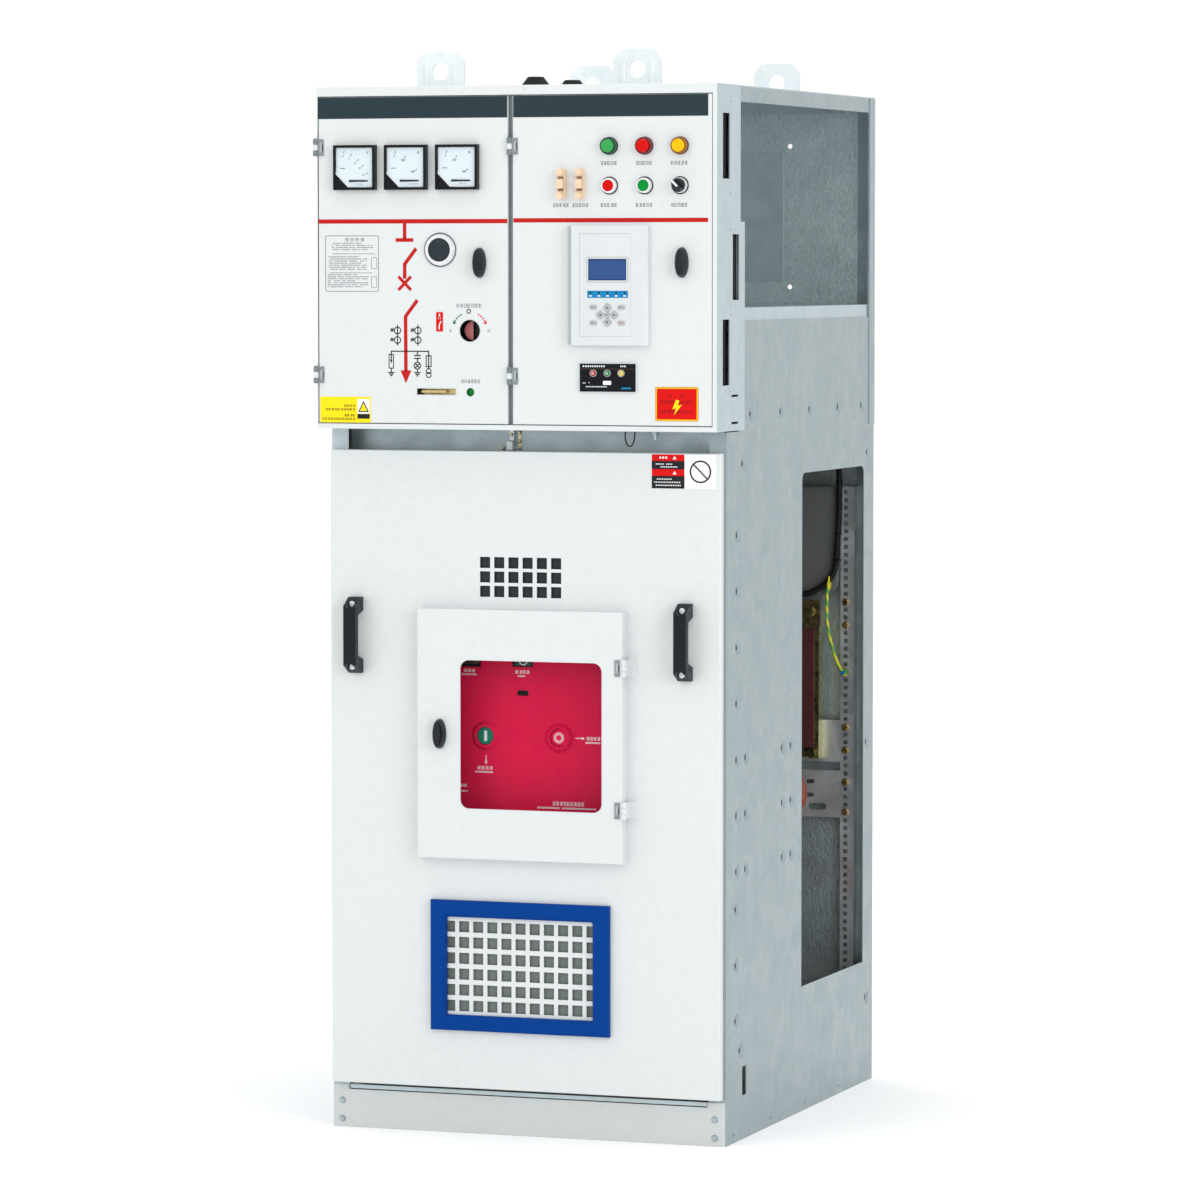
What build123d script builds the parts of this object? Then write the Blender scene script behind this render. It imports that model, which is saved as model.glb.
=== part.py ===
from build123d import *
import math
import os

# Medium-voltage switchboard cabinet. Millimetres, +Z up, the front faces -Y.
# The origin is the centre of the floor bolt pattern, on the floor.

# ---- driving dimensions -------------------------------------------------------------------
WIDTH = 750.0                 # over the side panels
BODY_DEPTH = 900.0            # main body, front flange to rear cover
HEIGHT = 1880.0               # floor to roof, without the lifting lugs
BOX_PROJECTION = 65.0         # instrument box in front of the main body
SHEET = 2.0                   # sheet thickness
PHASE_PITCH = 210.0           # between the three phases
DIMPLE_PITCH = 100.0          # between the sunk joining holes of the side panels

HALF = WIDTH / 2
FRONT = -BODY_DEPTH / 2
REAR = BODY_DEPTH / 2
PHASES = (-PHASE_PITCH, 0.0, PHASE_PITCH)

# instrument box and its two doors
BOX_FRONT = FRONT - BOX_PROJECTION
BOX_BOTTOM = 1270.0
BOX_BACK = -385.0
BOX_SIDE = HALF + SHEET       # its side sheets lap over the body's
BOX_STEP = 1639.0             # below this its sides reach further back
DOOR_DEPTH = 18.0
DOOR_LOW = 1280.5
DOOR_HIGH = 1861.5
LEFT_DOOR = (-373.5, -12.5)
RIGHT_DOOR = (-3.0, 368.5)
FRAME_Y = BOX_FRONT + DOOR_DEPTH + 1.0

# lower door and the small door on it
LOWER_FRONT = FRONT - 20.0
LOWER_X = (-370.0, 370.0)
LOWER_Z = (84.0, 1231.0)
SMALL_FRONT = LOWER_FRONT - 25.0
SMALL_X = (-194.0, 196.0)
SMALL_Z = (501.0, 949.0)
WINDOW_X = (-112.0, 158.0)
WINDOW_Z = (591.0, 859.0)

# body levels
PLINTH_TOP = 78.0
RAIL_LOW = 1464.0             # the bus-bar floor's lip
RAIL_HIGH = 1487.0
CHAMBER_TOP = 1851.0
CHAMBER_Y = (-373.0, 412.0)
SIDE_WINDOW_Y = (-5.0, 386.0)
SIDE_WINDOW_Z = (232.0, 1181.0)
INNER_REAR = REAR - SHEET

# hinges
PIN_R = 1.8
BORE_R = 1.86
KNUCKLE_R = 4.3
HINGE_LENGTH = 30.0

os.makedirs("parts", exist_ok=True)


# ---- helpers ------------------------------------------------------------------------------
def block(x, y, z):
    """A box from its (low, high) along each axis."""
    size = [high - low for low, high in (x, y, z)]
    middle = [(high + low) / 2 for low, high in (x, y, z)]
    return Pos(*middle) * Box(*size)


def rod(axis, centre, radius, length):
    """A cylinder centred on a point, along X, Y or Z."""
    turn = {"X": Rot(0, 90, 0), "Y": Rot(90, 0, 0), "Z": Rot(0, 0, 0)}[axis]
    return Pos(*centre) * turn * Cylinder(radius, length)


def cone(axis, centre, low_r, high_r, length):
    """A cone frustum; low_r is at the end with the lower coordinate."""
    turn = {"X": Rot(0, 90, 0), "Y": Rot(-90, 0, 0), "Z": Rot(0, 0, 0)}[axis]
    return Pos(*centre) * turn * Cone(low_r, high_r, length)


def around(value, half):
    return (value - half, value + half)


def rounded_front(x, y, z, radius):
    """A block whose four front edges are rounded."""
    solid = block(x, y, z)
    return fillet(solid.faces().sort_by(Axis.Y)[0].edges(), radius)


def pan(x, z, front, depth, radius=2.0):
    """A folded sheet door: a front sheet with four edges turned back."""
    outer = rounded_front(x, (front, front + depth), z, radius)
    wall = SHEET
    inner = block(
        (x[0] + wall, x[1] - wall), (front + wall, front + depth + 1), (z[0] + wall, z[1] - wall)
    )
    return outer - inner


def soft_rectangle(x, y, z, radius):
    """A block along Y with its four long edges rounded."""
    solid = block(x, y, z)
    return fillet(solid.edges().filter_by(Axis.Y), radius)


def save(name, *shapes):
    """Writes one node: a single solid, or a group of separate ones."""
    solids = [s for shape in shapes for s in shape.solids()]
    whole = solids[0] if len(solids) == 1 else Compound(children=solids)
    export_step(whole, f"parts/{name}.step")


def hinge(x, y, z, frame_leaf, door_leaf):
    """A three-knuckle hinge on a vertical pin: (frame side with its pin, door side)."""
    end = HINGE_LENGTH / 3 - 0.5
    offset = (HINGE_LENGTH - end) / 2
    bore = rod("Z", (x, y, z), BORE_R, HINGE_LENGTH + 2)
    knuckles = [rod("Z", (x, y, z + side * offset), KNUCKLE_R, end) for side in (-1, 1)]
    leaf = frame_leaf - rod("Z", (x, y, z), KNUCKLE_R + 0.3, HINGE_LENGTH / 3 + 0.5)
    frame_side = (leaf + knuckles) - bore
    middle = rod("Z", (x, y, z), KNUCKLE_R, HINGE_LENGTH / 3)
    gaps = [rod("Z", (x, y, z + side * offset), KNUCKLE_R + 0.3, end + 1) for side in (-1, 1)]
    door_side = (door_leaf - gaps + middle) - bore
    pin = rod("Z", (x, y, z), PIN_R, HINGE_LENGTH + 1) + rod(
        "Z", (x, y, z + HINGE_LENGTH / 2 + 1), PIN_R + 1, 1.2
    )
    return frame_side, pin, door_side


# ---- side panels --------------------------------------------------------------------------
DIMPLE_R = 15.0
DIMPLE_DEPTH = 4.0
FIRST_ROW = 484.0             # lowest row of the paired dimples
PAIR_GAP = 52.0


def dimple_places():
    """(y, z, slotted) of every sunk hole of a side panel."""
    front_column = -385.0
    rows = [FIRST_ROW + k * DIMPLE_PITCH for k in range(7)]
    places = [(front_column, z, True) for z in rows]
    for z in rows[:3]:
        places += [(y, z, True) for y in (front_column + PAIR_GAP, -117.0, -117.0 + PAIR_GAP)]
    places += [(front_column - 4, 216.0 + k * DIMPLE_PITCH, False) for k in range(3)]
    places += [(-364.0, 161.0, False), (-354.0, 1210.0, False)]
    places += [(-308.0 + k * 177.0, 1297.0, False) for k in range(4)] + [(375.0, 1297.0, False)]
    places += [(412.0, z, False) for z in (161.0, 652.0, 1207.0)]
    return places


def side_panel(side, windowed):
    """A galvanised side sheet with folded flanges; side is 1 on the right and -1 on the left."""
    outer, inner = HALF, HALF - SHEET
    top = HEIGHT - SHEET
    flange = 30.0
    sheet = block((inner, outer), (FRONT, REAR), (0, top))
    sheet += block((inner - flange, inner), (FRONT, FRONT + SHEET), (0, BOX_BOTTOM - 2))
    sheet += block((inner - flange, inner), (INNER_REAR - SHEET, INNER_REAR), (4, top - 4))
    sheet += block((inner - flange, inner), (BOX_BACK + 8, INNER_REAR - SHEET), (top - SHEET, top))
    cups, holes = [], []
    for y, z, slotted in dimple_places():
        middle = (outer - DIMPLE_DEPTH / 2, y, z)
        cups.append(cone("X", (middle[0] - SHEET, y, z), DIMPLE_R - 5, DIMPLE_R, DIMPLE_DEPTH))
        holes.append(cone("X", middle, DIMPLE_R - 7, DIMPLE_R - 1, DIMPLE_DEPTH))
        if slotted:
            holes.append(block((outer - 10, outer + 1), around(y, 2.5), around(z, 6)))
        else:
            holes.append(rod("X", (outer - 5, y, z), 3.2, 12))
    sheet = (sheet + cups) - holes
    sheet -= block((inner - 1, outer + 1), (FRONT - 1, BOX_BACK + SHEET), (BOX_BOTTOM - 2, HEIGHT))
    sheet -= block((inner - 1, outer + 1), CHAMBER_Y, (RAIL_LOW, CHAMBER_TOP))
    sheet -= block((inner - 1, outer + 1), (-357, -334), (79, 131))
    sheet -= [rod("X", (outer, -404 + k * 212.0, 15), 2.6, 10) for k in range(4)]
    if windowed:
        hole = block((inner - 1, outer + 1), SIDE_WINDOW_Y, SIDE_WINDOW_Z)
        top_edges = hole.faces().sort_by(Axis.Z)[-1].edges().filter_by(Axis.X)
        sheet -= fillet(top_edges, 15)
    # a narrow cover strip closes the rear corner above the lower sheet
    sheet += block((outer, outer + 1.5), (415, REAR), (1260, top))
    return sheet if side > 0 else mirror(sheet, about=Plane.YZ)


# ---- enclosure ----------------------------------------------------------------------------
FLAP_X = (-195.0, 195.0)
FLAP_Z = (1531.0, 1779.0)
REAR_SCREW_X = 357.0
REAR_SCREW_Z = [60.0 + k * 222.0 for k in range(9)]


def rear_cover():
    """The rear sheet, with a pressure-relief opening closed by a flap."""
    cover = block((-HALF + SHEET, HALF - SHEET), (INNER_REAR, REAR), (5, HEIGHT - SHEET))
    cover -= block((FLAP_X[0] + 15, FLAP_X[1] - 15), (400, 500), (FLAP_Z[0] + 15, FLAP_Z[1] - 15))
    cover -= [rod("Y", (x, REAR, z), 4.5, 10) for x in (-207, 207) for z in (1520, 1789)]
    return cover


def relief_flap():
    return block(FLAP_X, (INNER_REAR - SHEET, INNER_REAR), FLAP_Z)


def roof_panel():
    roof = block((-HALF, HALF), (BOX_BACK + SHEET, REAR), (HEIGHT - SHEET, HEIGHT))
    lip_x = (-HALF + 40, HALF - 40)
    for y in ((BOX_BACK + 10, BOX_BACK + 12), (INNER_REAR - 14, INNER_REAR - 12)):
        roof += block(lip_x, y, (HEIGHT - 25, HEIGHT - SHEET))
    return roof - rod("Z", (CAP_X, CAP_Y[1], HEIGHT), 14, 20)


def busbar_floor():
    """The tray between the switch and the bus-bar chamber; its turned-down lips show at the sides."""
    x = (-HALF + SHEET, HALF - SHEET)
    y = (BOX_BACK + 6, INNER_REAR - SHEET)
    tray = block(x, y, (RAIL_HIGH - SHEET, RAIL_HIGH))
    for side in (x[0], x[1] - SHEET):
        tray += block((side, side + SHEET), (CHAMBER_Y[0] + 2, CHAMBER_Y[1] - 2), (RAIL_LOW, RAIL_HIGH))
    for edge in (y[0], y[1] - SHEET):
        tray += block((x[0] + 34, x[1] - 34), (edge, edge + SHEET), (RAIL_LOW, RAIL_HIGH))
    return tray - [rod("Z", (p, SWITCH_MID, RAIL_HIGH), 52, 20) for p in PHASES]


FLOOR_BOLT_X = 345.0
FLOOR_BOLT_Y = 415.0
FLOOR_BOLT_R = 7.0
CABLE_Y = 200.0
CABLE_HOLE_R = 45.0


def base_frame():
    """Four welded angles that carry the cabinet, with the floor bolt holes in their feet."""
    wall, foot, top = 3.0, 48.0, PLINTH_TOP - SHEET
    x = HALF - SHEET
    y = INNER_REAR - SHEET
    front = FRONT + SHEET
    frame = block((-x, x), (front, front + foot), (0, wall))
    frame += block((-x, x), (y - foot, y), (0, wall))
    for side in (-1, 1):
        feet = sorted((side * x, side * (x - foot)))
        web = sorted((side * x, side * (x - wall)))
        frame += block(feet, (front, y), (0, wall))
        frame += block(web, (front, y), (0, top))
    frame += block((-x, x), (front, front + wall), (0, top - 14))
    frame += block((-x, x), (y - wall, y), (0, top))
    holes = [
        rod("Z", (sx * FLOOR_BOLT_X, sy * FLOOR_BOLT_Y, 0), FLOOR_BOLT_R, 20)
        for sx in (-1, 1) for sy in (-1, 1)
    ]
    return frame - holes


NOTCH_X = (-345.0, 341.0)


def plinth_front():
    plate = rounded_front((-HALF + 1, HALF - 1), (FRONT - SHEET, FRONT), (0, PLINTH_TOP), 0.8)
    return plate - block(NOTCH_X, (FRONT - 5, FRONT + 5), (69, PLINTH_TOP + 1))


def floor_plate():
    """Gland plate over the plinth, with three cable holes and a front lip."""
    plate = block((-368, 368), (FRONT + 4, INNER_REAR - 6), (PLINTH_TOP - SHEET, PLINTH_TOP))
    lip_x = (NOTCH_X[0] + 4, NOTCH_X[1] - 1)
    plate += block(lip_x, (FRONT - SHEET, FRONT + 4), (PLINTH_TOP - SHEET, PLINTH_TOP))
    plate += block(lip_x, (FRONT - SHEET, FRONT), (71, PLINTH_TOP))
    return plate - [rod("Z", (p, CABLE_Y, PLINTH_TOP), CABLE_HOLE_R, 20) for p in PHASES]


CAP_X = 8.0
CAP_Y = (-425.0, -232.0)      # one on the instrument box, one on the roof


def rubber_grommets():
    """Two closed cones on the roof and three open rings in the floor plate."""
    parts = []
    for y in CAP_Y:
        cap = cone("Z", (CAP_X, y, HEIGHT + 8.5), 27, 14, 17) + rod("Z", (CAP_X, y, HEIGHT - 4), 13.5, 8)
        parts.append(fillet(cap.edges().group_by(Axis.Z)[-1], 2))
    for p in PHASES:
        ring = rod("Z", (p, CABLE_Y, PLINTH_TOP + 3), CABLE_HOLE_R + 8, 6)
        ring += rod("Z", (p, CABLE_Y, PLINTH_TOP - 3), CABLE_HOLE_R - 0.5, 8)
        ring += cone("Z", (p, CABLE_Y, PLINTH_TOP + 14), 40, 33, 16)
        ring -= rod("Z", (p, CABLE_Y, PLINTH_TOP), 30, 80)
        parts.append(ring)
    return parts


LUG_X = 187.0
LUG_Y = (-389.0, 428.0)
LUG_WIDTH = 92.0
LUG_HEIGHT = 66.0
LUG_SHOULDER = 19.0           # height of the corner cuts, which are 15 wide
LUG_EYE_R = 15.5
LUG_EYE_Z = HEIGHT + 29.5
LUG_THICK = 4.0


def lifting_lug(x, y):
    """An upright plate with an eye and two pressed ribs, on a foot that is bolted to the roof."""
    half = LUG_WIDTH / 2
    top = HEIGHT + LUG_HEIGHT
    shoulder = top - LUG_SHOULDER
    outline = Polyline(
        (-half, HEIGHT), (-half, shoulder), (15 - half, top), (half - 15, top),
        (half, shoulder), (half, HEIGHT), close=True,
    )
    plate = Pos(x, y, 0) * extrude(Plane.XZ * make_face(outline), LUG_THICK / 2, both=True)
    inward = 1 if y < 0 else -1
    foot_y = sorted((y - inward * LUG_THICK / 2, y + inward * 40))
    plate += block(around(x, half), foot_y, (HEIGHT, HEIGHT + LUG_THICK))
    plate -= rod("Y", (x, y, LUG_EYE_Z), LUG_EYE_R, 20)
    for side in (-1, 1):
        rib = block(around(x + side * 27, 4.5), around(y - inward * 2, 2), (HEIGHT + 3, HEIGHT + 46))
        plate += fillet(rib.edges().filter_by(Axis.Z), 1.6)
    return plate


# ---- instrument box -----------------------------------------------------------------------
SHAFT = (-84.0, 1446.0)       # operating shaft of the load switch
UNLOCK = (-83.0, 1337.0)      # interlock push button
WIRE_SLOTS = (((-480, -442), (1714, 1829)), ((-424, -388), (1501, 1617)), ((-480, -442), (1351, 1467)))


def instrument_box():
    """The galvanised shell behind the two instrument doors."""
    back = (BOX_BACK, BOX_BACK + SHEET)
    front = BOX_FRONT + SHEET
    shell = block((-HALF, HALF), back, (BOX_BOTTOM, HEIGHT))
    shell += block((-HALF, HALF), (front, back[1]), (BOX_BOTTOM, BOX_BOTTOM + SHEET))
    shell += block((-HALF, HALF), (front, back[1]), (HEIGHT - SHEET, HEIGHT))
    for side in (-1, 1):
        x = sorted((side * HALF, side * BOX_SIDE))
        shell += block(x, (front, -380), (BOX_BOTTOM, HEIGHT))
        shell += block(x, (-381, -355), (BOX_BOTTOM, BOX_STEP))
    # the upright between the doors, with a wide back that both doors close against
    shell += block((-11.5, -4.5), (BOX_FRONT + 9, FRAME_Y + SHEET), (BOX_BOTTOM, HEIGHT - 1))
    shell += block((-27, 9), (FRAME_Y, FRAME_Y + SHEET), (BOX_BOTTOM, HEIGHT - 1))
    cuts = [block((-400, 400), y, z) for y, z in WIRE_SLOTS]
    cuts += [block((-400, 400), (-430, -392), around(z, 2)) for z in (1284, 1332)]
    for z in (1690, 1850, 1490, 1625, 1340, 1475):
        cuts.append(rod("X", (0, -436, z), 1.6, 900))
    cuts.append(rod("Y", (SHAFT[0], BOX_BACK, SHAFT[1]), 22, 20))
    cuts.append(rod("Y", (UNLOCK[0], BOX_BACK, UNLOCK[1]), 9, 20))
    cuts.append(rod("Z", (CAP_X, CAP_Y[0], HEIGHT), 14, 20))
    cuts.append(rod("Y", (CABLE_ENTRY[0], BOX_BACK, CABLE_ENTRY[1]), 8, 20))
    return shell - cuts


def box_apron():
    """An angle under the box that closes the gap above the lower door."""
    apron = block((-356, 356), (-402, -400.5), (1196, BOX_BOTTOM))
    return apron + block((-356, 356), (-402, BOX_BACK), (BOX_BOTTOM - 1.5, BOX_BOTTOM))


def box_front_frame():
    """The painted frame round the two doors, with a return and a lip that the doors close against."""
    clear = 1.5
    lip = 13.0
    hole_x = (LEFT_DOOR[0] - clear, RIGHT_DOOR[1] + clear)
    hole_z = (DOOR_LOW - clear, DOOR_HIGH + clear)
    frame = rounded_front((-BOX_SIDE, BOX_SIDE), (BOX_FRONT, BOX_FRONT + SHEET), (BOX_BOTTOM, HEIGHT), 1.2)
    outer_z = (hole_z[0] - SHEET, hole_z[1] + SHEET)
    frame += block((hole_x[0], hole_x[1] + SHEET), (BOX_FRONT + SHEET, FRAME_Y + SHEET), outer_z)
    frame -= block(hole_x, (BOX_FRONT - 1, FRAME_Y), hole_z)
    inner_x = (hole_x[0] + lip, hole_x[1] - lip)
    frame -= block(inner_x, (BOX_FRONT, FRAME_Y + 9), (hole_z[0] + lip, hole_z[1] - lip))
    return frame - block((-28, 10), (FRAME_Y - 12, FRAME_Y + 9), (BOX_BOTTOM, HEIGHT))


LEFT_AXIS = (-377.5, BOX_FRONT - 4.5)
RIGHT_AXIS = (-7.5, BOX_FRONT - 4.5)
BOX_HINGE_Z = (1366.0, 1772.0)
SMALL_AXIS = (SMALL_X[1] + 3.5, SMALL_FRONT - 2.0)
SMALL_HINGE_Z = (597.0, 850.0)


def box_hinges(axis, leaf_x, leaf_depth):
    """The two hinges of an instrument door: frame sides with pins, and door sides."""
    x, y = axis
    frame_parts, door_parts = [], []
    for z in BOX_HINGE_Z:
        height = around(z, HINGE_LENGTH / 2)
        frame_leaf = block((x + leaf_x[0], x + leaf_x[1]), (y + 1, BOX_FRONT + leaf_depth), height)
        door_leaf = block((x + 1, x + 15.5), (BOX_FRONT - 1.5, BOX_FRONT), height)
        door_leaf += block((x + 1, x + 4), (y, BOX_FRONT), height)
        frame_side, pin, door_side = hinge(x, y, z, frame_leaf, door_leaf)
        frame_parts += [frame_side, pin]
        door_parts.append(door_side)
    return frame_parts, door_parts


def small_hinges():
    """The small door's hinges: lower-door sides with pins, and small-door sides."""
    x, y = SMALL_AXIS
    frame_parts, door_parts = [], []
    for z in SMALL_HINGE_Z:
        height = around(z, HINGE_LENGTH / 2)
        frame_leaf = block((x + 0.2, x + 2.2), (y, LOWER_FRONT), height)
        frame_leaf += block((x + 0.2, x + 15), (LOWER_FRONT - SHEET, LOWER_FRONT), height)
        door_leaf = block((x - 19, x - 0.5), (SMALL_FRONT - 1.5, SMALL_FRONT), height)
        frame_side, pin, door_side = hinge(x, y, z, frame_leaf, door_leaf)
        frame_parts += [frame_side, pin]
        door_parts.append(door_side)
    return frame_parts, door_parts


# ---- knobs, handles and push buttons ------------------------------------------------------
KNOB_OVALS = ((0, 12.3, 27.0), (11, 10.4, 25.6), (20, 6.2, 22.0))   # proud, half width, half height
SPINDLE_R = 8.0
SPINDLE_HOLE_R = 8.6
LEFT_KNOB = (-65.0, 1566.5)
RIGHT_KNOB = (313.5, 1567.0)
SMALL_KNOB = (-150.0, 725.0)


def wing_knob(place, face_y, back_y, reach):
    """A quarter-turn knob: a tapered oval grip, spindle through the door and an upright tongue."""
    grip = loft([Plane.XZ.offset(proud) * Ellipse(w, h) for proud, w, h in KNOB_OVALS])
    grip = fillet(grip.faces().sort_by(Axis.Y)[0].edges(), 1.5)
    depth = back_y - face_y
    spindle = rod("Y", (0, depth / 2, 0), SPINDLE_R, depth + 4)
    tongue = block((-9, 9), (depth, depth + 3), (-9, reach))
    knob = grip + spindle + tongue
    return Pos(place[0], face_y, place[1]) * knob


HANDLE_X = (-319.0, 307.0)
HANDLE_Z = 897.5
HANDLE_HALF = 68.5
HANDLE_WIDTH = 24.0
HANDLE_DEPTH = 40.0
HANDLE_BAR = 15.0


def bridge_handle(x):
    """A moulded bridge handle with sloping ends and a screw well in each foot."""
    tip = HANDLE_HALF - 16
    gap = HANDLE_HALF - 24
    outline = Polyline(
        (0, -HANDLE_HALF), (-12, -HANDLE_HALF), (-HANDLE_DEPTH, -tip), (-HANDLE_DEPTH, tip),
        (-12, HANDLE_HALF), (0, HANDLE_HALF), (0, gap), (HANDLE_BAR - HANDLE_DEPTH, gap - 8),
        (HANDLE_BAR - HANDLE_DEPTH, 8 - gap), (0, -gap), close=True,
    )
    bar = extrude(Plane.YZ * make_face(outline), HANDLE_WIDTH / 2, both=True)
    bar = fillet(bar.faces().sort_by(Axis.Y)[0].edges(), 2.5)
    for side in (-1, 1):
        bar -= rod("Y", (0, -40, side * (HANDLE_HALF - 12)), 7, 40)
        bar -= rod("Y", (0, -10, side * (HANDLE_HALF - 12)), 3.5, 24)
    return Pos(x, LOWER_FRONT, HANDLE_Z) * bar


def handle_screws():
    screws = []
    for x in HANDLE_X:
        for side in (-1, 1):
            z = HANDLE_Z + side * (HANDLE_HALF - 12)
            head = rod("Y", (x, LOWER_FRONT - 22.5, z), 5.5, 5)
            shank = rod("Y", (x, LOWER_FRONT - 7, z), 3.2, 28)
            socket = rod("Y", (x, LOWER_FRONT - 25, z), 2.6, 4)
            screws.append(head + shank - socket)
    return screws


# ---- left instrument door -----------------------------------------------------------------
METER_SIZE = 80.0
METER_Z = 1736.0
METER_X = (-300.5, -203.0, -105.5)
SIGHT = (-140.0, 1589.5)
GATE_X = (-185.0, -111.0)
GATE_Z = (1332.0, 1343.0)


def left_door_panel():
    door = pan(LEFT_DOOR, (DOOR_LOW, DOOR_HIGH), BOX_FRONT, DOOR_DEPTH)
    cuts = [block(around(x, 36.5), (-600, -500), around(METER_Z, 36.5)) for x in METER_X]
    cuts.append(rod("Y", (SIGHT[0], BOX_FRONT, SIGHT[1]), 24, 20))
    cuts.append(rod("Y", (SHAFT[0], BOX_FRONT, SHAFT[1]), 19.5, 20))
    cuts.append(rod("Y", (UNLOCK[0], BOX_FRONT, UNLOCK[1]), 7.5, 20))
    cuts.append(rod("Y", (LEFT_KNOB[0], BOX_FRONT, LEFT_KNOB[1]), SPINDLE_HOLE_R, 20))
    cuts.append(block(GATE_X, (-600, -500), GATE_Z))
    return door - cuts


def panel_meter(x):
    """A square moving-coil meter: black case with a recessed face."""
    front = BOX_FRONT - 13
    case = rounded_front(around(x, METER_SIZE / 2), (front, BOX_FRONT), around(METER_Z, METER_SIZE / 2), 1.5)
    recess = METER_SIZE / 2 - 4.5
    case -= block(around(x, recess), (front - 1, front + 5), around(METER_Z, recess))
    case += block(around(x, 36), (BOX_FRONT - 1, BOX_FRONT + 48), around(METER_Z, 36))
    corner = Polyline(
        (-METER_SIZE / 2 + 4, -METER_SIZE / 2 + 4), (-12, -METER_SIZE / 2 + 4),
        (-METER_SIZE / 2 + 4, -12), close=True,
    )
    corner = extrude(Plane.XZ * make_face(corner), 4)
    return case + Pos(x, front + 5, METER_Z) * corner


def sight_glass():
    """A flanged round window with its lens."""
    x, z = SIGHT
    ring = cone("Y", (x, BOX_FRONT - 3.5, z), 26.5, 29.5, 7)
    ring += rod("Y", (x, BOX_FRONT + 5, z), 23.5, 10)
    ring -= rod("Y", (x, BOX_FRONT, z), 21, 40)
    lens = rod("Y", (x, BOX_FRONT - 1, z), 20.9, 3)
    return ring, lens


# ---- right instrument door ----------------------------------------------------------------
COLUMN_X = (179.0, 244.5, 310.0)
LAMP_Z = 1771.5
BUTTON_Z = 1702.0
BEZEL_R = 14.8
RELAY_X = (105.5, 253.5)
RELAY_Z = (1421.0, 1632.0)
UNIT_X = (125.0, 229.0)
UNIT_Z = (1340.0, 1389.0)
LINK_X = (91.0, 126.0)
LINK_Z = 1705.0
BUTTON_TRAVEL = 4.0


def right_door_panel():
    door = pan(RIGHT_DOOR, (DOOR_LOW, DOOR_HIGH), BOX_FRONT, DOOR_DEPTH)
    cuts = [rod("Y", (x, BOX_FRONT, z), 11.2, 20) for x in COLUMN_X for z in (LAMP_Z, BUTTON_Z)]
    cuts.append(rod("Y", (RIGHT_KNOB[0], BOX_FRONT, RIGHT_KNOB[1]), SPINDLE_HOLE_R, 20))
    cuts.append(block((RELAY_X[0] + 14, RELAY_X[1] - 14), (-600, -500), (RELAY_Z[0] + 14, RELAY_Z[1] - 14)))
    cuts.append(block((UNIT_X[0] + 5, UNIT_X[1] - 5), (-600, -500), (UNIT_Z[0] + 4, UNIT_Z[1] - 4)))
    cuts += [rod("Y", (x, BOX_FRONT, LINK_Z + dz), 3.2, 20) for x in LINK_X for dz in (-21, 21)]
    return door - cuts


def panel_bezels():
    """Bezels of the three lamps, the two push buttons and the selector, each with its barrel."""
    rings = []
    for x in COLUMN_X:
        for z, bore in ((LAMP_Z, 10.0), (BUTTON_Z, 10.4)):
            ring = cone("Y", (x, BOX_FRONT - 5, z), 12.8, BEZEL_R, 10)
            ring += rod("Y", (x, BOX_FRONT + 16, z), 11, 32)
            ring -= rod("Y", (x, BOX_FRONT - 4, z), bore, 30)
            rings.append(ring)
    return rings


def lamp_lens(x):
    lens = rod("Y", (x, BOX_FRONT - 13, LAMP_Z), 11.5, 6) + rod("Y", (x, BOX_FRONT - 1, LAMP_Z), 9.9, 20)
    return fillet(lens.edges().group_by(Axis.Y)[0], 2)


def push_button(x):
    """A button cap on its stem; it travels BUTTON_TRAVEL into the bezel."""
    cap = rod("Y", (x, BOX_FRONT - 4, BUTTON_Z), 10.3, 14)
    return fillet(cap.edges().group_by(Axis.Y)[0], 1.2)


def selector_switch():
    """A black two-position selector with a raised pointer bar."""
    x = COLUMN_X[2]
    knob = rod("Y", (x, BOX_FRONT - 5, BUTTON_Z), 10.3, 16)
    knob += rod("Y", (x, BOX_FRONT - 12, BUTTON_Z), 12.2, 3)
    bar = block((-3.5, 3.5), (-BOX_PROJECTION, -BOX_PROJECTION + 11), (-12, 12))
    bar = chamfer(bar.edges().filter_by(Axis.Y), 1.5)
    bar = Pos(x, BOX_FRONT - 24 + BOX_PROJECTION, BUTTON_Z) * Rot(0, SELECTOR_REST, 0) * bar
    return knob + bar


SELECTOR_REST = -45.0         # the pointer's angle at rest


FASCIA_Y = BOX_FRONT - 12.4   # back of the relay's recessed fascia


def relay_case():
    """The protection relay: a frame on the door, its case behind and a recessed fascia."""
    x, z = RELAY_X, RELAY_Z
    frame = block(x, (BOX_FRONT - 14, BOX_FRONT), z)
    frame = chamfer(frame.faces().sort_by(Axis.Y)[0].edges().filter_by(Axis.Z), 6.5)
    frame = fillet(frame.faces().sort_by(Axis.Y)[0].edges(), 1.2)
    frame -= block((x[0] + 22, x[1] - 30), (BOX_FRONT - 20, FASCIA_Y), (z[0] + 16, z[1] - 14))
    frame += block((x[0] + 16, x[1] - 16), (BOX_FRONT - 1, BOX_FRONT + 88), (z[0] + 16, z[1] - 16))
    return frame


FASCIA_X = (RELAY_X[0] + 22.3, RELAY_X[1] - 30.3)
FASCIA_Z = (RELAY_Z[0] + 16.3, RELAY_Z[1] - 14.3)
KEY_CENTRE = (179.5, 1475.0)


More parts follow.
